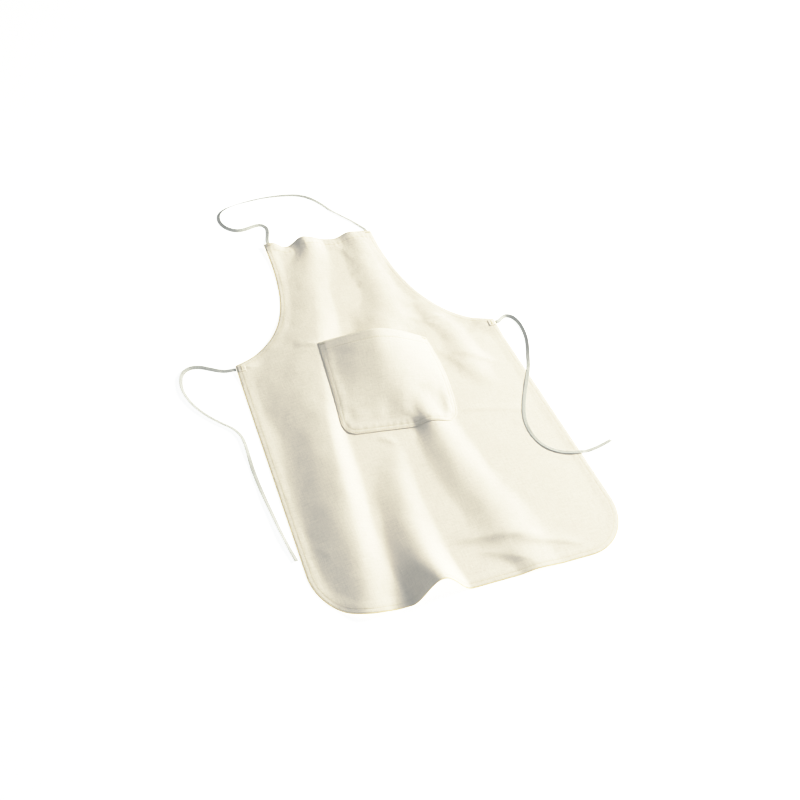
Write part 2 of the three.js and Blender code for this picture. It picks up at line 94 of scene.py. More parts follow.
# A seam: its inset from the edge, how far and how widely it draws the sheet in
STITCH_INSET = 7.5
BIB_STITCH_INSET = 16.0
SEAM_SINK = 0.06
SEAM_REACH = 1.2
STITCH_LIFT = CANVAS_THICKNESS + 0.12
# The small waves that a seam draws in: pitch, sway and its length, height, inset and reach
SIDE_SEAM_WAVES = (7.3, 1.9, 23.0, 0.08, 9.0, 4.5)
BIB_SEAM_WAVES = (8.9, 1.5, 19.0, 0.12, 15.0, 6.0)
POCKET_SEAM_WAVES = (8.1, 1.7, 21.0, 0.16, 9.0, 4.5)
# Below the bib's top, the side seams' waves reach their full height here
SIDE_SEAM_FULL = 30.0
# The waist's corner patch and the tapes' sewn ends: insets, and lifts off the sheet's underside
PATCH_INSET = (1.2, 1.6)
PATCH_LIFTS = (0.64, 1.05)
NECK_END_INSET = 8.0
TIE_END_DROP = 7.0
TAPE_END_LIFTS = (-2.05, -1.2)
TIE_TACK_LIFT = 1.2
NECK_TACK_LIFT = 0.75
POCKET_TACK_LIFT = 0.8
POCKET_TACK_INSET = (6.5, 4.7)

# Rings of the cloth's mesh, measured in from the edge; they crowd where the hem is sewn
PANEL_RINGS = (PANEL_INSET, 2.6, 4.0, 5.3, 6.4, 7.5, 8.6, 9.8, 11.4, 13.6, 16.5)
POCKET_RINGS = (1.2, 1.9, 2.5, 3.2, 4.2, 5.4, 6.6, 7.5, 8.4, 9.6, 11.4, 14.0)
# Rows of the panel across the bib's turned hem, measured down from the top
BIB_ROWS = (18.0, 17.0, 16.0, 15.0, 13.4, 11.0, 8.5, 6.0, 3.6, PANEL_INSET)
HEM_CELL = 2.6
POCKET_CELL = 2.4
NORMAL_STEP = 0.8
# Turned edges in section: inset from the edge, and height from the sheet's underside
EDGE_ROLL = (
    (1.5, 0.05), (1.5, 0.6), (1.05, 0.62), (0.62, 0.52), (0.28, 0.34), (0.08, 0.14),
    (0.0, -0.08), (0.07, -0.3), (0.3, -0.49), (0.7, -0.59), (1.3, -0.61),
)
POCKET_EDGE_ROLL = (
    (1.25, 0.05), (1.25, 0.6), (0.85, 0.6), (0.45, 0.46), (0.15, 0.2), (0.0, -0.08),
    (0.1, -0.34), (0.45, -0.48), (1.2, -0.52),
)
POCKET_MOUTH_ROLL = (
    (1.35, 0.05), (1.35, 0.6), (0.9, 0.62), (0.45, 0.48), (0.12, 0.2), (0.0, -0.1),
    (0.12, -0.5), (0.5, -0.7), (1.4, -0.72),
)

# ------------------------------------ how the pocket stands, in millimetres
# The rise at its mouth, where its crest runs in shares of half its width, how its flanks bend
POCKET_BULGE = 25.0
POCKET_CREST = 0.02
POCKET_CREST_DRIFT = 0.3
POCKET_RIDGE = 0.24
POCKET_DOME = 1.75
POCKET_OPENING = 1.4
POCKET_BELLY = 9.0
# How it spans the folds under it
POCKET_TAUT_RISE = 2.0
POCKET_TAUT_FROM, POCKET_TAUT_FULL = -6.0, 34.0
POCKET_DRAPE = 2.4
# Where it comes loose from its seams, and its unevenness there, broad and middle
POCKET_LOOSE = (2.0, 16.0)
POCKET_BROAD_UNEVEN, POCKET_MIDDLE_UNEVEN = 0.6, 0.2
POCKET_RIPPLE_SHIFT = 400.0
# Its turned edge and its seams
POCKET_FOLD = 1.3
POCKET_STACK = 0.55
POCKET_STACK_RAMP = (8.0, 22.0)
POCKET_GAP = 0.1
POCKET_SEAMS = (2.5, 7.5)
POCKET_SEAM_SINK = 0.2
POCKET_MOUTH_STITCH = 18.0
POCKET_MOUTH_SINK = 0.1
# The mouth's hem is a little shorter at each end than the front is wide
POCKET_MOUTH_SHORT = 0.6
# Soft dents in its front: middle, size along two axes, turn in degrees, height
POCKET_DENTS = (
    ((66, 50), (32, 15), -34, -1.6),
    ((84, 30), (12, 24), -10, 3.6),
    ((14, 30), (13, 20), 20, 1.3),
    ((-16, 30), (10, 16), 0, -0.8),
    ((-45, 158), (30, 12), -20, 0.8),
    ((-30, 60), (30, 14), -30, -0.5),
    ((-80, 34), (10, 12), 0, -1.2),
)

# ------------------------------------ long folds
# Each point of a fold: its place along Y and X, its height, and the widths of its two flanks
Y, X, HEIGHT, LEFT, RIGHT = range(5)
FOLDS = (
    (  # from the bib's top, past the pocket's left edge, down the left of the skirt
        (370, -22, 10, 26, 36), (300, -34, 5, 54, 44), (210, -60, 6.5, 70, 46),
        (110, -88, 11.5, 150, 52), (40, -106, 12, 126, 60), (-50, -126, 13, 90, 36),
        (-150, -142, 15, 84, 38), (-240, -153, 15, 78, 44), (-310, -164, 11.5, 62, 46),
        (-369, -172, 8, 46, 46),
    ),
    (  # grows from below the pocket to the hem's middle
        (-90, -42, 0, 36, 28), (-140, -52, 4, 44, 32), (-235, -71, 9, 54, 42),
        (-300, -75, 15, 54, 44), (-369, -71, 31, 46, 46),
    ),
    (  # under the pocket's middle, then down the right of the skirt
        (215, 24, 0, 40, 40), (110, 18, 8, 56, 54), (30, 16, 10, 58, 54), (-50, 24, 12, 46, 48),
        (-80, 29, 12, 32, 46), (-110, 33, 9.5, 44, 46), (-156, 40, 9, 52, 50),
        (-232, 50, 7.5, 60, 58), (-300, 60, 5.5, 54, 56), (-369, 72, 5, 40, 50),
    ),
    (  # a soft roll down the right of the bib
        (370, 66, 7, 36, 40), (300, 68, 5.5, 46, 44), (210, 62, 6, 52, 48), (137, 56, 5, 50, 46),
        (80, 52, 0, 44, 44),
    ),
    (  # the bib's left corner stands a little off the table
        (370, -92, 5, 40, 34), (320, -100, 2.6, 40, 30), (260, -104, 0, 40, 30),
    ),
    (  # and so does its right corner
        (370, 98, 2.4, 26, 30), (320, 102, 0, 26, 30),
    ),
    (  # a slack roll between the pocket and the right side
        (200, 116, 0, 30, 30), (140, 132, 3, 34, 36), (80, 142, 3.6, 36, 38), (0, 150, 3, 38, 40),
        (-70, 160, 0, 38, 40),
    ),
)
WAIST_CORNER_RISE = 3.2
WAIST_CORNER_SPREAD = 46.0
# The cloth's unevenness between its folds, from broad to fine, and how much it sinks by its weight
BROAD_UNEVEN, MIDDLE_UNEVEN, FINE_UNEVEN = 0.7, 0.22, 0.05
SETTLE = 0.7
# The softness of its touch on the table, and the least gap under it
REST_SOFTNESS = 0.5
REST_GAP = 0.2

# Short creases: both ends, height, and the width of the soft and of the steep flank
CREASES = (
    # across the lower right of the skirt
    ((-24, -294), (104, -320), 4.0, 24, 8),
    ((4, -318), (76, -358), 2.8, 20, 9),
    ((66, -319), (164, -352), 2.0, 16, 5),
    ((84, -196), (128, -262), 1.3, 26, 12),
    # between the pocket and the right side
    ((86, -72), (184, -99), 1.6, 16, 4),
    ((92, 72), (138, -4), 2.0, 26, 12),
    ((122, 48), (206, -6), 1.6, 18, 6),
    # at the pocket's left top corner and below it
    ((-122, 115), (-86, 108), 1.6, 10, 4),
    ((-60, -90), (-33, -110), 1.4, 10, 5),
    # small wrinkles on the bib
    ((34, 291), (69, 300), 0.9, 6, 3),
    ((25, 261), (72, 274), 1.1, 6, 3),
    ((26, 232), (72, 246), 1.0, 6, 3),
    ((20, 352), (44, 300), 1.2, 16, 8),
    # tucks along the right armhole
    ((86, 168), (126, 170), 1.5, 12, 6),
    ((84, 139), (130, 107), 1.3, 16, 9),
    ((106, 130), (142, 130), 1.6, 8, 4),
    # where the ties pull, and at the lower left edge
    ((-226, 95), (-190, 91), 1.2, 8, 3),
    ((170, 86), (214, 92), 1.2, 9, 4),
    ((-226, -250), (-210, -269), 0.6, 7, 4),
    ((-214, -246), (-194, -270), 0.7, 9, 5),
)
# Where the bib's top edge is drawn down and where it curls up: place across, reach and amount
BIB_DRAWS = ((-62, 26, 8.0), (26, 28, 4.5))
BIB_CURLS = ((-84, 22, 4.0), (-37, 20, 6.0), (50, 24, 3.0))
BIB_DRAW_HEIGHT = 90.0
BIB_CURL_HEIGHT = 24.0

# ------------------------------------ tape routes, in millimetres
NECK_ROUTE = (
    (-91.5, 369.6, 3.4), (-89.5, 381, 3.4), (-86, 393, 3.2), (-82, 406, 3.2), (-80.5, 418, 3.2),
    (-87, 427.5, 3.2), (-99, 427, 3.2), (-114, 422, 3.2), (-132, 420, 3.2), (-148, 430, 3.2),
    (-156, 448, 3.2), (-154, 468, 3.2), (-142, 482, 3.2), (-121, 491, 3), (-98, 497, 2.4),
    (-70, 502, 1.6), (-40, 504, 1.2), (-10, 502, 1.2), (10, 495, 1.2), (27, 481, 1.2),
    (39, 463, 1.2), (49, 443, 1.2), (62, 425, 1.2), (76, 406, 1.2), (87, 388, 1.4),
    (91.5, 378, 1.9), (92, 369.6, 2.2),
)
LEFT_TIE_ROUTE = (
    (-223.8, 94.3, 2.6), (-236, 95.5, 2.6), (-248, 99.5, 2), (-262, 107, 1.4), (-277, 114.5, 1.6),
    (-292, 115, 2.2), (-304, 106, 3), (-310, 90, 3.2), (-311, 70, 3.2), (-306, 49, 3.2),
    (-298, 31, 3.2), (-287, 14, 3.2), (-273, -3, 3.2), (-259, -18, 3.2), (-251.5, -34, 3),
    (-250, -52, 2.2), (-251, -75, 1.4), (-252, -98, 1.2), (-251.5, -126, 1.2), (-250, -154, 1.4),
    (-248, -180, 2), (-246, -206, 3), (-243, -234, 3.2), (-239, -261, 3.2),
)
RIGHT_TIE_ROUTE = (
    (224.4, 94.3, 2.6), (230.5, 95.2, 2.6), (238, 100.5, 2.6), (248, 105, 3), (257.5, 100, 3.2),
    (263, 85, 3.2), (263, 68, 3.2), (259.5, 48, 3.2), (252, 27, 3.4), (243, 7, 4.2),
    (235, -11, 5.2), (224, -29.5, 5.6), (211.5, -49, 5.2), (198.5, -70, 4.6), (185.5, -93, 4.2),
    (176, -117, 4), (173, -141, 4), (177, -163, 4), (188.5, -180.5, 4.2), (205, -191.5, 5),
    (222, -197, 5.6), (238, -199, 5), (255, -198, 3.2), (273, -194.5, 2.2), (290, -190, 1.6),
)
# How far each tape is turned from lying flat, in degrees, at shares of its length
NECK_TWIST = (
    (0, 0), (0.1, 14), (0.19, 40), (0.3, 18), (0.42, 34), (0.55, 16), (0.7, -10), (0.86, 22),
    (1, 4),
)
LEFT_TIE_TWIST = (
    (0, 0), (0.12, 20), (0.26, 36), (0.4, 22), (0.56, 30), (0.64, 8), (0.8, 24), (0.93, 34),
    (1, 16),
)
RIGHT_TIE_TWIST = (
    (0, -16), (0.05, -34), (0.13, -50), (0.22, -40), (0.3, -18), (0.36, -3), (0.84, 2), (0.9, 8),
    (1, 16),
)
TAPE_THICKNESS = 0.7
TAPE_SPACING = 1.5
TAPE_WANDER = 0.05
# Passes that round a route, and steps over which its twist is eased
ROUTE_SMOOTHING = 40
TWIST_EASE = 15
# Steps over which a tape bridges what lies under it, and the way it takes down from a sewn end
TAPE_REST_REACH = 3
TAPE_DROP_FROM, TAPE_DROP = 3.0, 26.0
TAPE_OVER_HEM = 0.5
TAPE_CLEARANCE = 0.04

# ------------------------------------ stitches, in millimetres
STITCH_WANDER = 0.05
STITCH_UNEVENNESS = 0.1
STITCH_AIM = 0.8
TACK_LENGTH = 8.0
TACK_WIDTH = 2.2
TACK_STITCHES = 17
TACK_LEAN = 0.12
TACK_THREAD_RADIUS = 0.34

# ------------------------------------ camera, table and light
CAMERA_PLACE = Vector((-0.5174, -0.9396, 1.1306))
CAMERA_ELEVATION = math.radians(47.126)
CAMERA_AZIMUTH = math.radians(-29.642)
CAMERA_ROLL = math.radians(11)
CAMERA_LENS = 45.0
CAMERA_SENSOR = 36.0
TABLE_REACH = 9
TABLE_GLOW = 0.85
SKY_COLOUR = (0.88, 0.95, 1.0, 1.0)
SKY_STRENGTH = 0.36
# Lamps: name, place, target, size, power and colour
LAMPS = (
    ("Key", (2.3, 0.36, 1.2), (0, -0.1, 0), 0.8, 113.0, (1.0, 0.965, 0.84)),
    ("Top", (0.3, -1.0, 1.7), (0, -0.2, 0), 1.4, 6.0, (0.92, 0.97, 1.0)),
)
# Light in, and how much of full white it shows as: highlights roll off softly
TONE_WHITE = 1.5
TONE_POINTS = ((0.3, 0.46), (0.567, 0.84), (0.75, 0.945))


# ------------------------------------ properties
def size_property(name, description, default):
    return bpy.props.FloatProperty(
        name=name, description=description, default=default, min=0.0,
        unit="LENGTH", subtype="DISTANCE",
    )


def colour_property(name, description, default):
    return bpy.props.FloatVectorProperty(
        name=name, description=description, default=default, size=3, min=0.0, max=1.0,
        subtype="COLOR",
    )


class ApronSizes(bpy.types.PropertyGroup):
    """Sizes of the cloth, thread and tape"""

    cloth_thickness: size_property("Cloth", "Thickness of one layer", CANVAS_THICKNESS * MM)
    cell: size_property("Cloth cell", "Size of the cloth's mesh cells", 3.3 * MM)
    tape_width: size_property("Tape width", "Width of the neck loop and the ties", 6 * MM)
    stitch_pitch: size_property("Stitch pitch", "Distance from one stitch to the next", 3.1 * MM)
    stitch_length: size_property("Stitch length", "Thread that shows in one stitch", 2.5 * MM)
    thread_radius: size_property("Thread radius", "Half the thickness of the thread", 0.26 * MM)
    yarn_pitch: size_property("Yarn pitch", "Distance between two yarns of the weave", 0.62 * MM)


class ApronColours(bpy.types.PropertyGroup):
    """Colours of the finishes"""

    canvas: colour_property("Canvas", "Natural unbleached cotton", (0.845, 0.78, 0.685))
    hem: colour_property("Hem", "The canvas where it is turned", (0.86, 0.75, 0.54))
    thread: colour_property("Thread", "Sewing thread", (0.78, 0.71, 0.55))
    tape: colour_property("Tape", "Cotton tape", (0.58, 0.58, 0.55))
    floor: colour_property("Table", "The pale table", (0.92, 0.92, 0.91))


def sizes():
    return bpy.context.scene.apron_sizes


def colours():
    return bpy.context.scene.apron_colours


# ------------------------------------ the laid cloth as a surface
def along(fold, column, y):
    """One column of a fold at places y, on a smooth curve through the fold's points."""
    ys = np.array([point[Y] for point in fold], float)[::-1]
    values = np.array([point[column] for point in fold], float)[::-1]
    slopes = np.zeros_like(values)
    slopes[1:-1] = (values[2:] - values[:-2]) / (ys[2:] - ys[:-2])
    place = np.clip(y, ys[0], ys[-1])
    i = np.clip(np.searchsorted(ys, place) - 1, 0, len(ys) - 2)
    span = ys[i + 1] - ys[i]
    t = (place - ys[i]) / span
    start = values[i] * (2 * t**3 - 3 * t**2 + 1) + slopes[i] * span * (t**3 - 2 * t**2 + t)
    return start + values[i + 1] * (3 * t**2 - 2 * t**3) + slopes[i + 1] * span * (t**3 - t**2)


def hump(distance, reach):
    """A round hump, 1 at its middle and 0 at its rim."""
    share = np.clip(np.abs(distance) / reach, 0, 1)
    return 0.5 * (1 + np.cos(np.pi * share))


def smooth_step(value, low, high):
    """0 below low, 1 above high, and smooth in between."""
    t = np.clip((value - low) / (high - low), 0, 1)
    return t * t * (3 - 2 * t)


def waves(seed, count, shortest, longest):
    """Directions, lengths and phases of a few sine waves, the same for the same seed."""
    rng = np.random.default_rng(seed)
    length = np.exp(rng.uniform(np.log(shortest), np.log(longest), count))
    angle = rng.uniform(0, np.pi, count)
    phase = rng.uniform(0, 2 * np.pi, count)
    return length, angle, phase


def ripple(x, y, wave_set):
    """Smooth uneven ground from a set of waves, mostly between -1 and 1."""
    total = np.zeros_like(x)
    for length, angle, phase in zip(*wave_set):
        total += np.sin(2 * np.pi * (x * np.cos(angle) + y * np.sin(angle)) / length + phase)
    return total / math.sqrt(len(wave_set[0]) * 0.5) / 1.6


BROAD_WAVES = waves(11, 14, 90, 210)
MIDDLE_WAVES = waves(12, 22, 34, 80)
FINE_WAVES = waves(13, 26, 9, 24)


def crease_height(x, y):
    """Height of the short creases, each bent a little and fading at both ends."""
    total = np.zeros_like(x)
    for (x0, y0), (x1, y1), height, soft, steep in CREASES:
        length = math.hypot(x1 - x0, y1 - y0)
        ax, ay = (x1 - x0) / length, (y1 - y0) / length
        run = (x - x0) * ax + (y - y0) * ay
        bend = 0.035 * length * np.sin(np.pi * np.clip(run / length, 0, 1))
        across = (y - y0) * ax - (x - x0) * ay - bend
        flank = np.where(across > 0, soft, steep)
        fade_in = smooth_step(run, -0.15 * length, 0.3 * length)
        fade_out = smooth_step(-run, -1.15 * length, -0.6 * length)
        total += height * (fade_in * fade_out) * np.exp(-np.abs(across / flank) ** 1.5)
    return total


def fold_height(x, y):
    """Height of the long folds, with the rise at the waist's corners."""
    height = np.zeros_like(x)
    for fold in FOLDS:
        offset = x - along(fold, X, y)
        reach = np.where(offset < 0, along(fold, LEFT, y), along(fold, RIGHT, y))
        height += np.maximum(along(fold, HEIGHT, y), 0) * hump(offset, reach)
    corner = np.hypot(LAID_WAIST_WIDTH / 2 - np.abs(x), y - WAIST_Y)
    return height + WAIST_CORNER_RISE * hump(corner, WAIST_CORNER_SPREAD)


def width_share(v):
    """Laid width over cut width, at a height on the pattern."""
    laid = np.array((LAID_HEM_WIDTH, LAID_WAIST_WIDTH, LAID_BIB_WIDTH))
    cut = np.array((HEM_LINE_WIDTH, WAIST_WIDTH, BIB_TOP_WIDTH))
    return np.interp(v, (0, SKIRT_HEIGHT, FLAT_LENGTH), laid / cut)


def ground(u, v):
    """Where a pattern point lies on the table."""
    x = u * width_share(v)
    last = FOLDS[1][-1]
    drawn = HEM_DRAW_IN * hump(x - last[X], last[LEFT]) * hump(v, HEM_DRAW_HEIGHT)
    down = sum(amount * hump(x - place, reach) for place, reach, amount in BIB_DRAWS)
    drawn = drawn - down * hump(FLAT_LENGTH - v, BIB_DRAW_HEIGHT)
    return x, v * LAID_LENGTH_SHARE - LAID_LENGTH / 2 + drawn


def relief(x, y):
    """Height of the cloth over the table, with its folds, creases and unevenness."""
    folds = fold_height(x, y)
    lively = 0.35 + 0.65 * np.clip(folds / 6, 0, 1)
    uneven = BROAD_UNEVEN * ripple(x, y, BROAD_WAVES)
    uneven = uneven + MIDDLE_UNEVEN * lively * ripple(x, y, MIDDLE_WAVES)
    height = folds + crease_height(x, y) + uneven - SETTLE
    height = height + FINE_UNEVEN * ripple(x, y, FINE_WAVES)
    return 0.5 * (height + np.sqrt(height * height + REST_SOFTNESS * REST_SOFTNESS)) + REST_GAP


def surface(u, v):
    """The cloth's underside, as points in millimetres, for arrays of pattern points."""
    x, y = ground(u, v)
    return np.stack((x, y, relief(x, y) + pucker(u, v)), axis=-1)


def raised(place, u, v, lift):
    """Points of a surface function, lifted along its normal."""
    across = place(u + NORMAL_STEP, v) - place(u - NORMAL_STEP, v)
    upward = place(u, v + NORMAL_STEP) - place(u, v - NORMAL_STEP)
    normal = np.cross(across, upward)
    normal /= np.linalg.norm(normal, axis=-1, keepdims=True)
    return place(u, v) + normal * np.asarray(lift)[..., None]


# ------------------------------------ edges of the pattern
CORNER, SIDE, ARMHOLE = range(3)


def bezier(points, t):
    """Points of a cubic curve at shares t."""
    p0, p1, p2, p3 = (np.array(p, float) for p in points)
    t = t[:, None]
    return p0 * (1 - t) ** 3 + 3 * p1 * t * (1 - t) ** 2 + 3 * p2 * t**2 * (1 - t) + p3 * t**3


def apron_stretch(inset, part, shares):
    """Points of one stretch of the apron's right-hand edge, moved in by inset."""
    hem = HEM_LINE_WIDTH / 2 - inset
    waist = WAIST_WIDTH / 2 - inset
    bib = BIB_TOP_WIDTH / 2 - inset
    radius = HEM_CORNER_RADIUS - inset
    angle = ARMHOLE_WAIST_ANGLE
    waist_v = SKIRT_HEIGHT - inset * (1 - math.sin(angle)) / math.cos(angle)
    top = FLAT_LENGTH - BIB_HEM_WIDTH
    t = np.asarray(shares, float)
    if part == CORNER:
        turn = (t - 1) * math.pi / 2
        u = hem - radius + radius * np.cos(turn)
        return np.stack((u, HEM_CORNER_RADIUS + radius * np.sin(turn)), -1)
    if part == SIDE:
        v = HEM_CORNER_RADIUS + (waist_v - HEM_CORNER_RADIUS) * t
        return np.stack((hem + (waist - hem) * t, v), -1)
    inward = ARMHOLE_WAIST_REACH * math.cos(angle)
    upward = ARMHOLE_WAIST_REACH * math.sin(angle)
    pull = (waist - inward, waist_v + upward)
    return bezier(((waist, waist_v), pull, (bib, top - ARMHOLE_BIB_REACH), (bib, top)), t)


def length_of(points):
    """Length of a line of points."""
    return float(np.linalg.norm(np.diff(points, axis=0), axis=1).sum())


def run_along(points):
    """Distance along a line to each of its points."""
    return np.concatenate(([0], np.cumsum(np.linalg.norm(np.diff(points, axis=0), axis=1))))


def edge_shares(part, cell):
    """Shares that cut a stretch of the edge into cells of about one size."""
    length = length_of(apron_stretch(0, part, np.linspace(0, 1, 200)))
    return np.linspace(0, 1, max(2, round(length / cell)) + 1)


def apron_edge(inset, part, cell):
    """One stretch of the edge, cut into cells."""
    return apron_stretch(inset, part, edge_shares(part, cell))


def outline_samples():
    """Close points along the right half of the cut edge, from the bottom's middle to the top."""
    rows = [apron_stretch(0, part, np.linspace(0, 1, 160)) for part in (CORNER, SIDE, ARMHOLE)]
    bottom = np.stack((np.linspace(0, rows[0][0][0], 90), np.zeros(90)), -1)
    up = np.linspace(FLAT_LENGTH - BIB_HEM_WIDTH, FLAT_LENGTH, 12)
    side = np.stack((np.full(len(up), BIB_TOP_WIDTH / 2), up), -1)
    return np.concatenate((bottom, *rows, side))


OUTLINE = outline_samples()
OUTLINE_RUN = run_along(OUTLINE)
POINTS_AT_ONCE = 8000


def edge_distance(u, v):
    """Distance to the apron's side, armhole or bottom edge, and the place along that edge."""
    flat_u, flat_v = np.abs(np.ravel(u)), np.ravel(v)
    nearest = np.empty(len(flat_u))
    run = np.empty(len(flat_u))
    for start in range(0, len(flat_u), POINTS_AT_ONCE):
        part = slice(start, start + POINTS_AT_ONCE)
        gap_u = flat_u[part, None] - OUTLINE[None, :, 0]
        gap_v = flat_v[part, None] - OUTLINE[None, :, 1]
        gap = np.hypot(gap_u, gap_v)
        best = gap.argmin(axis=1)
        nearest[part] = gap[np.arange(len(best)), best]
        run[part] = OUTLINE_RUN[best]
    return nearest.reshape(np.shape(u)), run.reshape(np.shape(u))


def seam_waves(run, inset, kind):
    """Small uneven waves that a seam draws into the cloth along its run."""
    pitch, sway, sway_length, height, middle, reach = kind
    wave = np.sin(2 * np.pi * run / pitch + sway * np.sin(run / sway_length))
    return height * (wave * np.exp(-(((inset - middle) / reach) ** 2)))


def pucker(u, v):
    """The sheet's rise over its turned hems, its curl, and the way the stitches draw it in."""
    side, run = edge_distance(u, v)
    top = FLAT_LENGTH - v
    on_side = 1 - smooth_step(side, SIDE_HEM_WIDTH, SIDE_HEM_WIDTH + HEM_RAMP)
    on_top = 1 - smooth_step(top, BIB_HEM_WIDTH, BIB_HEM_WIDTH + HEM_RAMP)
    seam_side = np.exp(-(((side - STITCH_INSET) / SEAM_REACH) ** 2))
    seam_top = np.exp(-(((top - BIB_STITCH_INSET) / SEAM_REACH) ** 2))
    drawn_side = seam_waves(run, side, SIDE_SEAM_WAVES) * np.minimum(top / SIDE_SEAM_FULL, 1)
    drawn_top = seam_waves(u, top, BIB_SEAM_WAVES)
    rise = TURNED_LAYERS * np.maximum(on_side, on_top)
    rise = rise - SEAM_SINK * np.maximum(seam_side, seam_top)
    x = u * LAID_BIB_WIDTH / BIB_TOP_WIDTH
    curl = sum(amount * hump(x - place, reach) for place, reach, amount in BIB_CURLS)
    curl = curl * (1 - smooth_step(top, 0, BIB_CURL_HEIGHT))
    return rise + curl + drawn_side + drawn_top


# ------------------------------------ the pocket as a surface
def pocket_edge(inset, cell):
    """The right-hand edge of the pocket from the bottom's straight part to its mouth."""
    half = POCKET_WIDTH / 2 - inset
    radius = POCKET_CORNER_RADIUS - inset
    turn = np.linspace(-math.pi / 2, 0, max(4, round(POCKET_CORNER_RADIUS * math.pi / 2 / cell)))
    arc_u = half - radius + radius * np.cos(turn)
    arc = np.stack((arc_u, POCKET_CORNER_RADIUS + radius * np.sin(turn)), -1)
    count = round((POCKET_HEIGHT - POCKET_CORNER_RADIUS) / cell)
    up = np.linspace(POCKET_CORNER_RADIUS, POCKET_HEIGHT - POCKET_FOLD, count + 1)[1:]
    return np.concatenate((arc, np.stack((np.full(count, half), up), -1)))


def pocket_edge_distance(p, q):
    """Distance to the pocket's sewn edge; its mouth doesn't count."""
    half = POCKET_WIDTH / 2
    radius = POCKET_CORNER_RADIUS
    corner = (np.abs(p) > half - radius) & (q < radius)
    round_gap = radius - np.hypot(np.abs(p) - (half - radius), q - radius)
    return np.where(corner, round_gap, np.minimum(half - np.abs(p), q))


def pocket_ground(p, q):
    """Where a point of the pocket's pattern lies on the table; its right side bellies out."""
    belly = POCKET_BELLY * np.clip(2 * p / POCKET_WIDTH, 0, 1) ** 2
    belly = belly * np.sin(np.pi * np.clip(q / POCKET_HEIGHT, 0, 1))
    across = p * LAID_WAIST_WIDTH / WAIST_WIDTH + belly
    down = q - POCKET_HEIGHT
    x = POCKET_MOUTH_X + across * math.cos(POCKET_TILT) - down * math.sin(POCKET_TILT)
    y = WAIST_Y - POCKET_BELOW_WAIST + across * math.sin(POCKET_TILT) + down * math.cos(POCKET_TILT)
    return x, y


def pocket_rise(p, q):
    """Shares of the pocket's rise: across it, straight to its crest and domed after, and upward."""
    place = 2 * p / POCKET_WIDTH
    crest = POCKET_CREST + POCKET_CREST_DRIFT * (1 - q / POCKET_HEIGHT)
    from_crest = np.abs(place - crest) / np.where(place < crest, 1 + crest, 1 - crest)
    straight = np.sqrt(from_crest**2 + POCKET_RIDGE**2) - POCKET_RIDGE
    straight = straight / (math.hypot(1, POCKET_RIDGE) - POCKET_RIDGE)
    across = 1 - np.where(place < crest, straight, from_crest**POCKET_DOME)
    upward = np.sin((np.pi / 2) * np.clip(q / POCKET_HEIGHT, 0, 1)) ** POCKET_OPENING
    return across, upward


def pocket_dents(p, q):
    """Height of the soft dents in the pocket's front."""
    dents = np.zeros_like(p)
    for (p0, q0), (wide, tall), turn, height in POCKET_DENTS:
        c, s = math.cos(math.radians(turn)), math.sin(math.radians(turn))
        a = ((p - p0) * c + (q - q0) * s) / wide
        b = ((q - q0) * c - (p - p0) * s) / tall
        dents += height * np.exp(-(a * a + b * b))
    return dents


def pocket_lift(p, q, gap):
    """The front's rise over its turned edge, and the way its seams draw it in."""
    layers = POCKET_STACK * (1 - smooth_step(gap, *POCKET_STACK_RAMP)) + POCKET_GAP
    seams = sum(POCKET_SEAM_SINK * np.exp(-((gap - inset) ** 2)) for inset in POCKET_SEAMS)
    run = np.arctan2(p, POCKET_HEIGHT - q) * 120
    drawn = seam_waves(run, gap, POCKET_SEAM_WAVES)
    on_mouth = (POCKET_HEIGHT - q - POCKET_MOUTH_STITCH) / SEAM_REACH
    mouth = POCKET_MOUTH_SINK * np.exp(-(on_mouth**2)) * smooth_step(gap, 2, 8)
    return CANVAS_THICKNESS + layers - seams + drawn - mouth


def pocket_surface(p, q):
    """The underside of the pocket's front, standing open at its mouth and clear of the panel."""
    x, y = pocket_ground(p, q)
    gap = pocket_edge_distance(p, q)
    loose = smooth_step(gap, *POCKET_LOOSE)
    across, upward = pocket_rise(p, q)
    shifted = x + POCKET_RIPPLE_SHIFT
    uneven = POCKET_MIDDLE_UNEVEN * ripple(shifted, y, MIDDLE_WAVES)
    uneven = uneven + POCKET_BROAD_UNEVEN * ripple(shifted, y, BROAD_WAVES)
    bulge = POCKET_BULGE * across * upward + loose * (pocket_dents(p, q) + uneven)
    edges = [pocket_ground(np.full_like(p, sign * POCKET_WIDTH / 2), q) for sign in (-1, 1)]
    left, right = (relief(*edge) for edge in edges)
    taut = left + (right - left) * (0.5 + p / POCKET_WIDTH)
    free = smooth_step(q, POCKET_TAUT_FROM, POCKET_TAUT_FULL)
    under = relief(x, y)
    base = under + (taut + POCKET_TAUT_RISE * across - under) * free
    clear = base + bulge - under
    clear = 0.5 * (clear + np.sqrt(clear**2 + (POCKET_DRAPE * loose) ** 2))
    return np.stack((x, y, under + clear + pocket_lift(p, q, gap)), axis=-1)


# ------------------------------------ sheets and bands as meshes
def both_sides(right, inset, steps):
    """A right-hand edge with its mirror image, and the straight bottom between them."""
    straight = np.linspace(-right[0, 0], right[0, 0], steps)[1:-1]
    middle = np.stack((straight, np.full(len(straight), inset)), -1)
    return np.concatenate((right[::-1] * (-1, 1), middle, right))


def level_line(half, steps, top):
    """Lines straight across the pattern, from -half to half, at insets below a top edge."""
    across = np.linspace(-half, half, steps)

    def line_at(inset):
        return np.stack((across, np.full(len(across), top - inset)), -1)

    return line_at


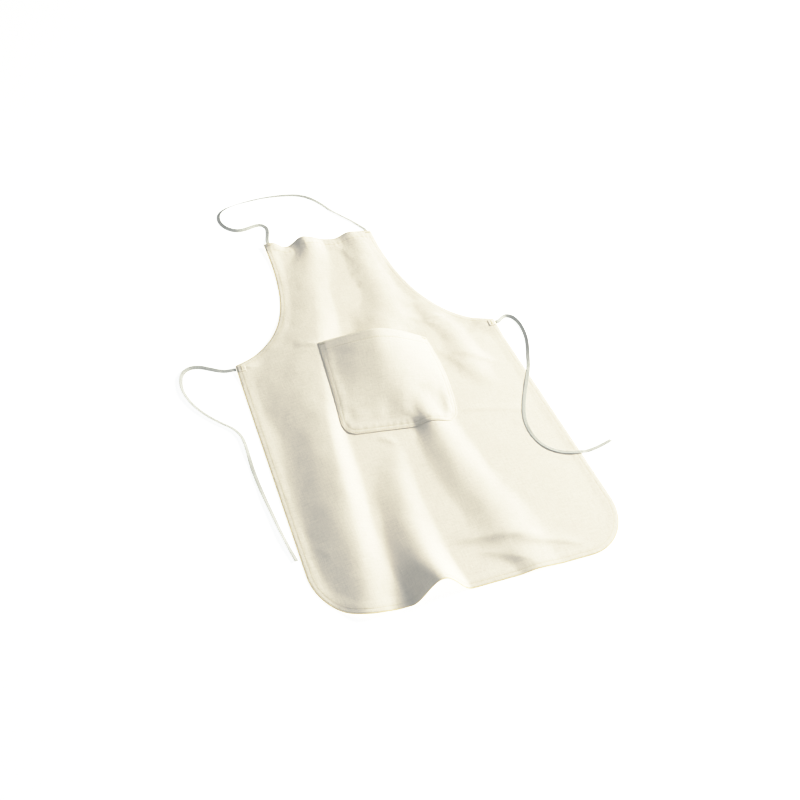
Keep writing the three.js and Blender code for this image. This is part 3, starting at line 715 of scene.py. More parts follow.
def offset_sheet(edge, insets, columns):
    """A pattern piece as quads: rings that follow its edge, and a grid inside them."""
    share = np.linspace(-1, 1, columns + 1)
    rings = []
    for inset in insets:
        line = edge(inset)
        bottom = np.stack((share[1:-1] * line[0, 0], np.full(columns - 1, line[0, 1])), -1)
        rings.append(np.concatenate((line[::-1] * (-1, 1), bottom, line)))
    rings = np.stack(rings)
    up = np.repeat(line[:, 1:], columns + 1, axis=1)
    block = np.stack((share[None, :] * line[:, :1], up), -1)
    points = np.concatenate((rings.reshape(-1, 2), block.reshape(-1, 2)))
    inner = grid_quads(*block.shape[:2]) + rings[..., 0].size
    return merge_points(points, np.concatenate((grid_quads(*rings.shape[:2]), inner)))


def grid_quads(rows, columns):
    """Quads of a grid of points, as indices row by row."""
    index = np.arange(rows * columns).reshape(rows, columns)
    quads = (index[:-1, :-1], index[:-1, 1:], index[1:, 1:], index[1:, :-1])
    return np.stack([q.ravel() for q in quads], -1)


def tube_faces(rows, columns):
    """Faces of closed sections joined one after the other, with both ends closed."""
    index = np.arange(rows * columns).reshape(rows, columns)
    after = np.roll(index, -1, axis=1)
    quads = (index[:-1], after[:-1], after[1:], index[1:])
    faces = np.stack([q.ravel() for q in quads], -1).tolist()
    return faces + [index[0][::-1].tolist(), index[-1].tolist()]


def merge_points(points, quads):
    """A sheet with its doubled points merged and all its quads turned the same way."""
    _, first, index = np.unique(
        np.round(points, 4), axis=0, return_index=True, return_inverse=True
    )
    merged = points[first]
    quads = index.ravel()[quads]
    a, b, c, d = (merged[quads[:, k]] for k in range(4))
    turn = (c[:, 0] - a[:, 0]) * (d[:, 1] - b[:, 1]) - (c[:, 1] - a[:, 1]) * (d[:, 0] - b[:, 0])
    quads[turn < 0] = quads[turn < 0][:, ::-1]
    return merged, quads


def border_edges(quads):
    """The directed edges of a sheet that belong to one quad only."""
    pairs = [np.stack((quads[:, k], quads[:, (k + 1) % 4]), -1) for k in range(4)]
    pairs = np.concatenate(pairs)
    key = np.sort(pairs, axis=1)
    _, index, count = np.unique(key, axis=0, return_inverse=True, return_counts=True)
    return pairs[count[index.ravel()] == 1]


def shell(points, quads, place, low, high):
    """A closed sheet with a top and an underside, as (vertices, faces, pattern points)."""
    u, v = points[:, 0], points[:, 1]
    count = len(points)
    sheets = [raised(place, u, v, np.full(count, lift)) for lift in (low, high)]
    rim = border_edges(quads)
    walls = np.stack((rim[:, 0], rim[:, 1], rim[:, 1] + count, rim[:, 0] + count), -1)
    faces = np.concatenate((quads[:, ::-1], quads + count, walls))
    return np.concatenate(sheets), faces, np.concatenate((points, points))


def band(line_at, profile, place):
    """A closed profile of (inset, lift) points, swept along matched lines of the pattern."""
    sections = []
    patterns = []
    for inset, lift in profile:
        line = line_at(inset)
        sections.append(raised(place, line[:, 0], line[:, 1], np.full(len(line), lift)))
        patterns.append(np.stack((line[:, 0] + lift, line[:, 1] + lift), -1))
    grid = np.stack(sections, axis=1)
    flat = np.stack(patterns, axis=1)
    return grid.reshape(-1, 3), tube_faces(*grid.shape[:2]), flat.reshape(-1, 2)


def make_object(name, vertices, faces, pattern, material, slot_name):
    """A finished piece: a mesh with its pattern as a UV map, which stands in for its CAD node."""
    mesh = bpy.data.meshes.new(name)
    mesh.from_pydata((np.asarray(vertices) * MM).tolist(), [], [list(f) for f in faces])
    mesh.update()
    bm = bmesh.new()
    bm.from_mesh(mesh)
    bmesh.ops.recalc_face_normals(bm, faces=bm.faces)
    bm.to_mesh(mesh)
    bm.free()
    uv = mesh.uv_layers.new(name="Pattern")
    corners = np.empty(len(mesh.loops), dtype=np.int64)
    mesh.loops.foreach_get("vertex_index", corners)
    uv.data.foreach_set("uv", (np.asarray(pattern)[corners] * MM).astype(np.float32).ravel())
    mesh.polygons.foreach_set("use_smooth", np.full(len(mesh.polygons), True))
    mesh.materials.append(finish_named(material))
    return placed(linked(name, mesh), [name])


def linked(name, data):
    """A new object in the scene."""
    obj = bpy.data.objects.new(name, data)
    bpy.context.scene.collection.objects.link(obj)
    return obj


def placed(obj, nodes):
    """A piece that rides on the body and stands in for its CAD nodes."""
    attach(obj, BODY)
    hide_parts(*nodes)
    return obj


# ------------------------------------ materials
class Tree:
    """Adds nodes to a node tree, with their inputs set or linked."""

    def __init__(self, tree):
        self.tree = tree

    def add(self, kind, inputs=None, **settings):
        node = self.tree.nodes.new(kind)
        node.location = (200 * len(self.tree.nodes) - 2400, 0)
        for key, value in settings.items():
            setattr(node, key, value)
        for key, value in (inputs or {}).items():
            if isinstance(value, bpy.types.NodeSocket):
                self.tree.links.new(value, node.inputs[key])
            else:
                node.inputs[key].default_value = value
        return node

    def math(self, operation, a, b=0.0, c=0.0):
        return self.add("ShaderNodeMath", {0: a, 1: b, 2: c}, operation=operation).outputs[0]


class Shader(Tree):
    """The nodes of a material."""

    def __init__(self, name):
        self.material = bpy.data.materials.new(name)
        self.material.use_nodes = True
        super().__init__(self.material.node_tree)
        self.tree.nodes.clear()

    def pattern(self):
        return self.add("ShaderNodeUVMap", uv_map="Pattern").outputs["UV"]

    def split(self, vector):
        return self.add("ShaderNodeSeparateXYZ", {0: vector}).outputs[:2]

    def stretched(self, vector, scale):
        return self.add("ShaderNodeMapping", {"Vector": vector, "Scale": scale}).outputs["Vector"]

    def noise(self, vector, scale, detail=2.0, roughness=0.5):
        inputs = {"Vector": vector, "Scale": scale, "Detail": detail, "Roughness": roughness}
        return self.add("ShaderNodeTexNoise", inputs).outputs[0]

    def remap(self, value, low, high, to_low, to_high):
        inputs = {0: value, 1: low, 2: high, 3: to_low, 4: to_high}
        return self.add("ShaderNodeMapRange", inputs, clamp=True).outputs[0]

    def mix(self, factor, a, b):
        return self.add("ShaderNodeMix", {0: factor, 6: a, 7: b}, data_type="RGBA").outputs[2]

    def bump(self, height, distance, strength, normal=None):
        inputs = {"Height": height, "Distance": distance, "Strength": strength}
        if normal is not None:
            inputs["Normal"] = normal
        return self.add("ShaderNodeBump", inputs).outputs["Normal"]

    def finish(self, colour, roughness, normal, sheen=0.0, specular=0.2, glow=None):
        inputs = {
            "Base Color": colour, "Roughness": roughness, "Normal": normal,
            "Sheen Weight": sheen, "Sheen Roughness": 0.55, "Specular IOR Level": specular,
        }
        surface = self.add("ShaderNodeBsdfPrincipled", {**inputs, **(glow or {})})
        self.add("ShaderNodeOutputMaterial", {"Surface": surface.outputs["BSDF"]})
        return self.material


SEED_FLECK = (0.42, 0.33, 0.2)
TAPE_RIB = 0.00045
TAPE_WARP = 0.00035


def rgba(colour, gain=1.0):
    """A colour with its alpha, made lighter or darker."""
    return (*[min(1.0, c * gain) for c in colour], 1.0)


def canvas_material(name, colour):
    """Plain-weave canvas: uneven yarns both ways, slubs, seed flecks and a little fuzz."""
    s = Shader(name)
    pattern = s.pattern()
    u, v = s.split(pattern)
    pitch = sizes().yarn_pitch
    wobble = s.remap(s.noise(pattern, 60.0, 2.0), 0.3, 0.7, -0.4 * pitch, 0.4 * pitch)
    warp_phase = s.math("MULTIPLY", s.math("ADD", u, wobble), math.pi / pitch)
    weft_phase = s.math("MULTIPLY", s.math("ADD", v, wobble), math.pi / pitch)
    over = s.math("MULTIPLY", s.math("SINE", warp_phase), s.math("SINE", weft_phase))
    yarns = s.math("ABSOLUTE", over)
    warp_slub = s.noise(s.stretched(pattern, (900.0, 45.0, 1.0)), 1.0, 3.0, 0.55)
    weft_slub = s.noise(s.stretched(pattern, (45.0, 900.0, 1.0)), 1.0, 3.0, 0.55)
    slubs = s.math("ADD", warp_slub, weft_slub)
    mottle = s.noise(pattern, 260.0, 4.0, 0.65)
    cloudy = s.noise(pattern, 22.0, 3.0, 0.5)
    seeds = s.noise(pattern, 640.0, 1.0, 0.4)
    tone = s.math("MULTIPLY_ADD", slubs, 0.5, s.math("MULTIPLY", mottle, 0.5))
    tone = s.math("ADD", tone, s.math("MULTIPLY", yarns, 0.12))
    light = s.mix(s.remap(tone, 0.58, 0.98, 0.0, 1.0), rgba(colour, 0.86), rgba(colour, 1.07))
    worn = s.mix(s.remap(cloudy, 0.35, 0.68, 0.0, 0.3), light, rgba(colour, 0.93))
    flecked = s.mix(s.remap(seeds, 0.72, 0.8, 0.0, 0.32), worn, rgba(SEED_FLECK))
    fine = s.bump(s.math("MULTIPLY_ADD", yarns, 0.8, slubs), 0.00018, 0.55)
    normal = s.bump(mottle, 0.0007, 0.16, fine)
    roughness = s.remap(mottle, 0.3, 0.7, 0.86, 0.96)
    return s.finish(flecked, roughness, normal, sheen=0.12, specular=0.12)


def tape_material(name, colour):
    """Narrow cotton tape: ribs across it, two firm edges and a fine twill."""
    s = Shader(name)
    pattern = s.pattern()
    u, v = s.split(pattern)
    slant = s.math("ADD", v, s.math("MULTIPLY", u, 0.8))
    ribs = s.math("SINE", s.math("MULTIPLY", slant, math.pi / TAPE_RIB))
    warp = s.math("SINE", s.math("MULTIPLY", u, math.pi / TAPE_WARP))
    weave = s.math("ABSOLUTE", s.math("MULTIPLY", ribs, warp))
    fuzz = s.noise(pattern, 900.0, 3.0, 0.6)
    patchy = s.noise(pattern, 90.0, 2.0, 0.5)
    tone = s.math("MULTIPLY_ADD", weave, 0.4, s.math("MULTIPLY", fuzz, 0.6))
    light = s.mix(s.remap(tone, 0.2, 0.8, 0.0, 1.0), rgba(colour, 0.84), rgba(colour, 1.08))
    worn = s.mix(s.remap(patchy, 0.4, 0.7, 0.0, 0.25), light, rgba(colour, 0.88))
    normal = s.bump(s.math("ADD", weave, fuzz), 0.00014, 0.5)
    return s.finish(worn, 0.9, normal, sheen=0.1, specular=0.12)


def thread_material(name, colour):
    """Sewing thread: a fine fuzz and a patchy tone."""
    s = Shader(name)
    place = s.add("ShaderNodeTexCoord").outputs["Object"]
    fuzz = s.noise(place, 4200.0, 2.0, 0.5)
    patchy = s.noise(place, 130.0, 2.0, 0.5)
    light = s.mix(s.remap(fuzz, 0.3, 0.7, 0.0, 1.0), rgba(colour, 0.85), rgba(colour, 1.1))
    worn = s.mix(s.remap(patchy, 0.4, 0.65, 0.0, 0.4), light, rgba(colour, 0.9))
    return s.finish(worn, 0.62, s.bump(fuzz, 0.00008, 0.5), sheen=0.05, specular=0.3)


def table_material(name, colour):
    """A pale, nearly even table top that gives back some of the room's light."""
    s = Shader(name)
    place = s.add("ShaderNodeTexCoord").outputs["Object"]
    grain = s.noise(place, 6.0, 3.0, 0.5)
    light = s.mix(s.remap(grain, 0.35, 0.65, 0.0, 1.0), rgba(colour, 0.995), rgba(colour, 1.0))
    glow = {"Emission Color": rgba(colour), "Emission Strength": TABLE_GLOW}
    return s.finish(light, 0.8, s.bump(grain, 0.0001, 0.1), specular=0.1, glow=glow)


# Each finish: what makes it, and the colour it takes
MATERIALS = {
    "Canvas": (canvas_material, "canvas"),
    "Hem canvas": (canvas_material, "hem"),
    "Thread": (thread_material, "thread"),
    "Cotton tape": (tape_material, "tape"),
    "Pale table": (table_material, "floor"),
}


def finish_named(name):
    """The material of that name, made when it is first asked for."""
    make, colour = MATERIALS[name]
    return bpy.data.materials.get(name) or make(name, getattr(colours(), colour))


# ------------------------------------ tapes
def smooth_route(points, spacing):
    """A route's points on a smooth curve through them, evenly spaced."""
    knots = np.array(points, float)
    knots = np.concatenate((2 * knots[:1] - knots[1:2], knots, 2 * knots[-1:] - knots[-2:-1]))
    t = np.concatenate(([0], np.cumsum(np.linalg.norm(np.diff(knots, axis=0), axis=1) ** 0.5)))
    fine = []
    for i in range(1, len(knots) - 2):
        s = np.linspace(t[i], t[i + 1], 24, endpoint=False)[:, None]
        a1 = knots[i - 1] + (knots[i] - knots[i - 1]) * (s - t[i - 1]) / (t[i] - t[i - 1])
        a2 = knots[i] + (knots[i + 1] - knots[i]) * (s - t[i]) / (t[i + 1] - t[i])
        a3 = knots[i + 1] + (knots[i + 2] - knots[i + 1]) * (s - t[i + 1]) / (t[i + 2] - t[i + 1])
        b1 = a1 + (a2 - a1) * (s - t[i - 1]) / (t[i + 1] - t[i - 1])
        b2 = a2 + (a3 - a2) * (s - t[i]) / (t[i + 2] - t[i])
        fine.append(b1 + (b2 - b1) * (s - t[i]) / (t[i + 1] - t[i]))
    fine = np.concatenate(fine + [knots[-2:-1]])
    for _ in range(ROUTE_SMOOTHING):
        fine[1:-1] = 0.25 * fine[:-2] + 0.5 * fine[1:-1] + 0.25 * fine[2:]
    run = run_along(fine)
    even = np.linspace(0, run[-1], max(8, round(run[-1] / spacing)) + 1)
    return np.stack([np.interp(even, run, fine[:, k]) for k in range(3)], -1), run[-1]


def unit(vectors):
    """Vectors with their length taken out."""
    return vectors / np.linalg.norm(vectors, axis=1, keepdims=True)


def eased(values, reach):
    """Values along a line, each softly averaged with its neighbours."""
    kernel = np.hanning(2 * reach + 1)
    kernel = kernel / kernel.sum()
    return np.convolve(np.pad(values, reach, mode="edge"), kernel, mode="valid")


def cloth_top(x, y):
    """Height of what a tape lies on: the cloth and its turned hem, or the table beside them."""
    hem_y = HEM_CORNER_RADIUS - LAID_LENGTH / 2
    edge = np.interp(y, (hem_y, WAIST_Y), (LAID_HEM_WIDTH / 2, LAID_WAIST_WIDTH / 2))
    over = (np.abs(x) < edge) & (y < WAIST_Y)
    on_hem = TAPE_OVER_HEM * (edge - np.abs(x) < HEM_RAMP)
    return np.where(over, relief(x, y) + CANVAS_THICKNESS + on_hem, 0.0)


def laid_route(points, width, turn, sewn_ends):
    """A tape's centreline, let down from its sewn ends onto what it lies on."""
    run = np.arange(len(points)) * TAPE_SPACING
    held = np.zeros(len(points))
    for from_end in (run, run[::-1])[:sewn_ends]:
        held = np.maximum(held, 1 - smooth_step(from_end, TAPE_DROP_FROM, TAPE_DROP))
    half = np.abs(np.sin(turn)) * width / 2 + np.abs(np.cos(turn)) * TAPE_THICKNESS / 2
    shifts = (-width / 2, 0, width / 2)
    sides = [cloth_top(points[:, 0] + shift, points[:, 1]) for shift in shifts]
    under = np.maximum.reduce(sides) * (held == 0)
    reach = TAPE_REST_REACH
    under = np.array([under[max(0, i - reach): i + reach + 1].max() for i in range(len(under))])
    rest = eased(under + half + TAPE_CLEARANCE, reach + 1)
    laid = points.copy()
    laid[:, 2] = rest + np.maximum(points[:, 2] - rest, 0) * held
    return laid


def tape_section(width, thickness):
    """The tape's section: flat, with rounded, slightly thicker edges."""
    angle = np.linspace(0, 2 * np.pi, 20, endpoint=False)
    across = np.sign(np.cos(angle)) * np.abs(np.cos(angle)) ** 0.45 * width / 2
    edge = 0.84 + 0.16 * np.abs(across / (width / 2)) ** 2
    return across, np.sign(np.sin(angle)) * np.abs(np.sin(angle)) ** 0.7 * thickness / 2 * edge


def build_tape(name, route, twist, far_end, seed):
    """A tape along its route, twisting a little and lying on what is under it."""
    width = sizes().tape_width / MM
    points, length = smooth_route(route, TAPE_SPACING)
    share = np.linspace(0, 1, len(points))
    turn = np.radians(np.interp(share, *np.array(twist, float).T))
    rng = np.random.default_rng(seed)
    wander = rng.normal(0, 1, len(points) + 24)
    wander = np.convolve(wander, np.hanning(25) / 5, mode="valid")[: len(points)]
    turn = eased(turn, TWIST_EASE) + TAPE_WANDER * wander
    points = laid_route(points, width, turn, 2 if far_end == "object" else 1)
    tangents = unit(np.gradient(points, axis=0))
    sideways = unit(np.cross(tangents, (0, 0, 1)))
    upward = np.cross(sideways, tangents)
    broad = sideways * np.cos(turn)[:, None] + upward * np.sin(turn)[:, None]
    thin = np.cross(tangents, broad)
    across, through = tape_section(width, TAPE_THICKNESS)
    grid = points[:, None] + broad[:, None] * across[None, :, None]
    grid = grid + thin[:, None] * through[None, :, None]
    rows, columns = grid.shape[:2]
    run = np.repeat(share * length, columns)
    pattern = np.stack((np.tile(across, rows), run), -1)
    faces = tube_faces(rows, columns)
    obj = make_object(name, grid.reshape(-1, 3), faces, pattern, "Cotton tape", "tape")


# ------------------------------------ stitches
def stitch_tree():
    """Puts one rounded stitch of thread on every point, turned along the seam."""
    group = bpy.data.node_groups.get("Stitches")
    if group:
        return group
    group = bpy.data.node_groups.new("Stitches", "GeometryNodeTree")
    for name, way, kind in (
        ("Seam", "INPUT", "Geometry"), ("Stitch length", "INPUT", "Float"),
        ("Thread radius", "INPUT", "Float"), ("Unevenness", "INPUT", "Float"),
        ("Seed", "INPUT", "Int"), ("Thread", "INPUT", "Material"),
        ("Stitches", "OUTPUT", "Geometry"),
    ):
        group.interface.new_socket(name, in_out=way, socket_type="NodeSocket" + kind)
    tree = Tree(group)
    given = tree.add("NodeGroupInput").outputs
    ball = tree.add("GeometryNodeMeshUVSphere", {"Segments": 8, "Rings": 6})
    half = tree.math("MULTIPLY", given["Stitch length"], 0.5)
    radius = given["Thread radius"]
    size = tree.add("ShaderNodeCombineXYZ", {0: half, 1: radius, 2: radius})
    inputs = {"Geometry": ball.outputs["Mesh"], "Scale": size.outputs[0]}
    shape = tree.add("GeometryNodeTransform", inputs)
    turned = {}
    for name, axis, pivot in (("along", "X", "AUTO"), ("outward", "Z", "X")):
        attribute = "GeometryNodeInputNamedAttribute"
        direction = tree.add(attribute, {"Name": name}, data_type="FLOAT_VECTOR")
        inputs = {"Vector": direction.outputs["Attribute"], **turned}
        aim = tree.add("FunctionNodeAlignRotationToVector", inputs, axis=axis, pivot_axis=pivot)
        turned = {"Rotation": aim.outputs["Rotation"]}
    low = tree.math("SUBTRACT", 1.0, given["Unevenness"])
    high = tree.math("ADD", 1.0, given["Unevenness"])
    inputs = {2: low, 3: high, "Seed": given["Seed"]}
    vary = tree.add("FunctionNodeRandomValue", inputs, data_type="FLOAT")
    inputs = {"Points": given["Seam"], "Instance": shape.outputs["Geometry"], **turned}
    inputs["Scale"] = vary.outputs[1]
    spread = tree.add("GeometryNodeInstanceOnPoints", inputs)
    real = tree.add("GeometryNodeRealizeInstances", {"Geometry": spread.outputs["Instances"]})
    soft = tree.add("GeometryNodeSetShadeSmooth", {"Geometry": real.outputs["Geometry"]})
    inputs = {"Geometry": soft.outputs["Geometry"], "Material": given["Thread"]}
    finish = tree.add("GeometryNodeSetMaterial", inputs)
    tree.add("NodeGroupOutput", {"Stitches": finish.outputs["Geometry"]})
    return group


def sew(name, points, along_seam, outward, length, radius, seed):
    """Stitches on points given in millimetres, as one mesh that stands in for its CAD node."""
    mesh = bpy.data.meshes.new(name + " seam")
    mesh.from_pydata((points * MM).tolist(), [], [])
    for label, vectors in (("along", along_seam), ("outward", outward)):
        data = mesh.attributes.new(label, "FLOAT_VECTOR", "POINT").data
        data.foreach_set("vector", np.asarray(vectors, np.float32).ravel())
    seam = linked(name + " seam", mesh)
    modifier = seam.modifiers.new("Stitches", "NODES")
    tree = stitch_tree()
    modifier.node_group = tree
    values = {
        "Stitch length": length, "Thread radius": radius, "Unevenness": STITCH_UNEVENNESS,
        "Seed": seed, "Thread": finish_named("Thread"),
    }
    for item in tree.interface.items_tree:
        if item.item_type == "SOCKET" and item.in_out == "INPUT" and item.name in values:
            modifier[item.identifier] = values[item.name]
    seam.update_tag()
    ready = seam.evaluated_get(bpy.context.evaluated_depsgraph_get())
    stitched = bpy.data.meshes.new_from_object(ready)
    stitched.name = name
    obj = linked(name, stitched)
    bpy.data.objects.remove(seam)
    bpy.data.meshes.remove(mesh)
    if not obj.data.materials or obj.data.materials[0] is None:
        obj.data.materials.clear()
        obj.data.materials.append(finish_named("Thread"))
    return placed(obj, [name])


def sew_line(name, line, place, seed):
    """A lockstitch along a line of pattern points."""
    run = run_along(line)
    pitch = sizes().stitch_pitch / MM
    spots = np.arange(pitch * 0.5, run[-1], pitch)
    rng = np.random.default_rng(seed)
    spots = spots + rng.normal(0, STITCH_WANDER, len(spots))
    u, v = (np.interp(spots, run, line[:, k]) for k in range(2))
    raised_by = np.full(len(u), STITCH_LIFT)
    points = raised(place, u, v, raised_by)
    ahead = [np.interp(spots + STITCH_AIM, run, line[:, k]) for k in range(2)]
    back = [np.interp(spots - STITCH_AIM, run, line[:, k]) for k in range(2)]
    along_seam = raised(place, *ahead, raised_by) - raised(place, *back, raised_by)
    outward = points - raised(place, u, v, raised_by - 1)
    size = sizes()
    return sew(name, points, along_seam, outward, size.stitch_length, size.thread_radius, seed)


def sew_tack(name, centre, place, across, lift, seed):
    """A bar tack: close satin stitches laid across a short bar."""
    bars = np.linspace(-TACK_LENGTH / 2, TACK_LENGTH / 2, TACK_STITCHES)
    turn = (0, 1) if across else (1, 0)
    u = centre[0] + bars * turn[1]
    v = centre[1] + bars * turn[0]
    raised_by = np.full(len(u), lift)
    points = raised(place, u, v, raised_by)
    outward = points - raised(place, u, v, raised_by - 1)
    lean = TACK_LEAN * np.where(np.arange(len(bars)) % 2, 1, -1)
    side_u, side_v = turn[0] + lean * turn[1], turn[1] + lean * turn[0]
    ahead = raised(place, u + side_u, v + side_v, raised_by)
    along_bar = ahead - raised(place, u - side_u, v - side_v, raised_by)
    return sew(name, points, along_bar, outward, TACK_WIDTH * MM, TACK_THREAD_RADIUS * MM, seed)


# ------------------------------------ pieces
SIDES = (("left", -1), ("right", 1))


def turned_section(width):
    """The rolled edge and the turned layers under the sheet, as one closed profile."""
    return EDGE_ROLL + (
        (width * 0.5, -0.61), (width - 0.3, -0.6), (width, -0.42), (width, -0.18),
        (width - 0.25, -0.05),
    )


def pocket_section(roll, width, low, end):
    """A rolled edge of the pocket, with its turned layer to a width, as one closed profile."""
    return roll + ((width / 2, low), (width - 0.2, low), (width, end), (width - 0.2, -0.06))


def right_edge(inset, cell):
    """The apron's right-hand edge, from the straight bottom to the top of the bib."""
    corner, side, armhole = (apron_edge(inset, part, cell) for part in (CORNER, SIDE, ARMHOLE))
    bib = [(BIB_TOP_WIDTH / 2 - inset, FLAT_LENGTH - down) for down in BIB_ROWS[1:]]
    return np.concatenate((corner, side[1:], armhole[1:], bib))


def build_panel():
    cell = sizes().cell / MM
    columns = round((HEM_LINE_WIDTH - 2 * PANEL_RINGS[-1]) / cell)
    sheet = offset_sheet(partial(right_edge, cell=cell), PANEL_RINGS, columns)
    parts = shell(*sheet, surface, 0.0, sizes().cloth_thickness / MM)
    panel = make_object("body_panel", *parts, "Canvas", "canvas")
    corners = [(BIB_TOP_WIDTH / 2, FLAT_LENGTH), (0, FLAT_LENGTH), (0, 0)]
    half = np.concatenate((right_edge(0, cell), corners))


def build_edge_hem(name, stitch_name, line_at, seed):
    """A turned hem along a line of the edge, with its stitches."""
    hem = band(line_at, turned_section(SIDE_HEM_WIDTH), surface)
    make_object(name, *hem, "Hem canvas", "hem_canvas")
    sew_line(stitch_name, line_at(STITCH_INSET), surface, seed)


def build_hems():
    def bottom(inset):
        return both_sides(apron_edge(inset, CORNER, HEM_CELL), inset, 120)

    build_edge_hem("bottom_hem", "bottom_hem_stitching", bottom, seed=21)
    stretches = (
        (SIDE, "side_hem", "side_hem_stitching"),
        (ARMHOLE, "armhole_hem", "armhole_stitching"),
    )
    seed = 22
    for side, sign in SIDES:
        for part, hem, stitches in stretches:
            def stretch(inset, part=part, sign=sign):
                return apron_edge(inset, part, HEM_CELL) * (sign, 1)

            build_edge_hem(f"{hem}_{side}", f"{stitches}_{side}", stretch, seed)
            seed += 1


def build_bib_hem():
    line = level_line(BIB_TOP_WIDTH / 2, 90, FLAT_LENGTH)
    hem = band(line, turned_section(BIB_HEM_WIDTH), surface)
    make_object("bib_top_hem", *hem, "Hem canvas", "hem_canvas")
    sew_line("bib_hem_stitching", line(BIB_STITCH_INSET)[3:-3], surface, seed=31)


def pocket_round(inset):
    """The pocket's edge from the mouth's left end, round the bottom, to its right end."""
    return both_sides(pocket_edge(inset, POCKET_CELL), inset, 60)


def build_pocket():
    columns = round((POCKET_WIDTH - 2 * POCKET_RINGS[-1]) / POCKET_CELL)
    sheet = offset_sheet(partial(pocket_edge, cell=POCKET_CELL), POCKET_RINGS, columns)
    front = shell(*sheet, pocket_surface, 0.0, CANVAS_THICKNESS)
    pocket = make_object("pocket_front", *front, "Canvas", "canvas")
    section = pocket_section(POCKET_EDGE_ROLL, POCKET_TURNED_WIDTH, -0.52, -0.3)
    turned = band(pocket_round, section, pocket_surface)
    make_object("pocket_turned_edge", *turned, "Canvas", "hem_canvas")
    names = ("pocket_outer_stitching", "pocket_inner_stitching")
    for name, inset, seed in zip(names, POCKET_SEAMS, (41, 42)):
        sew_line(name, pocket_round(inset), pocket_surface, seed)


def build_pocket_mouth():
    line = level_line(POCKET_WIDTH / 2 - POCKET_MOUTH_SHORT, 80, POCKET_HEIGHT)
    section = pocket_section(POCKET_MOUTH_ROLL, POCKET_MOUTH_HEM, -0.72, -0.4)
    hem = band(line, section, pocket_surface)
    make_object("pocket_mouth_hem", *hem, "Canvas", "hem_canvas")
    sew_line("pocket_mouth_stitching", line(POCKET_MOUTH_STITCH)[2:-2], pocket_surface, seed=43)


def rounded_patch(centre, width, height, lifts, place):
    """A small rectangle of cloth with softly rounded corners, as a closed shell."""
    share = np.linspace(-1, 1, 9)
    a, b = np.meshgrid(share, share)
    pull = 1 - 0.05 * (a * b) ** 2
    u = centre[0] + a * pull * width / 2
    v = centre[1] + b * pull * height / 2
    points = np.stack((u, v), -1).reshape(-1, 2)
    points, quads = merge_points(points, grid_quads(len(share), len(share)))
    return shell(points, quads, place, *lifts)


def build_corner_patches():
    inset_u, inset_v = PATCH_INSET
    for side, sign in SIDES:
        u = sign * (WAIST_WIDTH / 2 - inset_u - CORNER_PATCH / 2)
        centre = (u, SKIRT_HEIGHT - inset_v - CORNER_PATCH / 2)
        cover = rounded_patch(centre, CORNER_PATCH, CORNER_PATCH, PATCH_LIFTS, surface)
        make_object(f"waist_corner_patch_{side}", *cover, "Canvas", "hem_canvas")
        sew_tack(f"tie_tack_{side}", centre, surface, False, TIE_TACK_LIFT, seed=51)


def build_tape_ends():
    width = sizes().tape_width / MM
    for side, sign in SIDES:
        neck = (sign * (BIB_TOP_WIDTH / 2 - NECK_END_INSET), FLAT_LENGTH - TAPE_END_LENGTH / 2)
        tie = (sign * (WAIST_WIDTH / 2 - TAPE_END_LENGTH / 2), SKIRT_HEIGHT - TIE_END_DROP)
        for name, centre, wide, tall in (
            (f"neck_tape_end_{side}", neck, width, TAPE_END_LENGTH),
            (f"tie_end_{side}", tie, TAPE_END_LENGTH, width),
        ):
            end = rounded_patch(centre, wide, tall, TAPE_END_LIFTS, surface)
            make_object(name, *end, "Cotton tape", "tape")
        sew_tack(f"neck_tack_{side}", neck, surface, True, NECK_TACK_LIFT, seed=61)


def build_pocket_tacks():
    inset_u, inset_v = POCKET_TACK_INSET
    for side, sign in SIDES:
        spot = (sign * (POCKET_WIDTH / 2 - inset_u), POCKET_HEIGHT - inset_v)
        sew_tack(f"pocket_tack_{side}", spot, pocket_surface, True, POCKET_TACK_LIFT, seed=71)


def build_tapes():
    build_tape("neck_loop", NECK_ROUTE, NECK_TWIST, "object", 81)
    build_tape("waist_tie_left", LEFT_TIE_ROUTE, LEFT_TIE_TWIST, "bare", 82)
    build_tape("waist_tie_right", RIGHT_TIE_ROUTE, RIGHT_TIE_TWIST, "bare", 83)


# ------------------------------------ the table, light and camera
def build_camera():
    data = bpy.data.cameras.new("Camera")
    data.lens = CAMERA_LENS
    data.sensor_width = CAMERA_SENSOR
    camera = linked("Camera", data)
    e, a = CAMERA_ELEVATION, CAMERA_AZIMUTH
    back = Vector((math.sin(a) * math.cos(e), -math.cos(a) * math.cos(e), math.sin(e)))
    level = Vector((0, 0, 1)).cross(back).normalized()
    over = back.cross(level)
    right = level * math.cos(CAMERA_ROLL) + over * math.sin(CAMERA_ROLL)
    up = over * math.cos(CAMERA_ROLL) - level * math.sin(CAMERA_ROLL)
    turn = Matrix((right, up, back)).transposed().to_4x4()
    camera.matrix_world = Matrix.Translation(CAMERA_PLACE) @ turn
    bpy.context.scene.camera = camera


def add_lamp(name, place, target, size, power, colour):
    """A round area lamp that faces its target."""
    data = bpy.data.lights.new(name, "AREA")
    data.shape = "DISK"
    data.size = size
    data.energy = power
    data.color = colour
    lamp = linked(name, data)
    lamp.location = place
    facing = Vector(target) - Vector(place)
    lamp.rotation_euler = facing.to_track_quat("-Z", "Y").to_euler()


def set_tone():
    """The view's tone curve."""
    view = bpy.context.scene.view_settings
    view.view_transform = "Standard"
    view.use_curve_mapping = True
    tone = view.curve_mapping
    tone.white_level = (TONE_WHITE, TONE_WHITE, TONE_WHITE)
    for place, value in TONE_POINTS:
        tone.curves[3].points.new(place, value)
    tone.update()


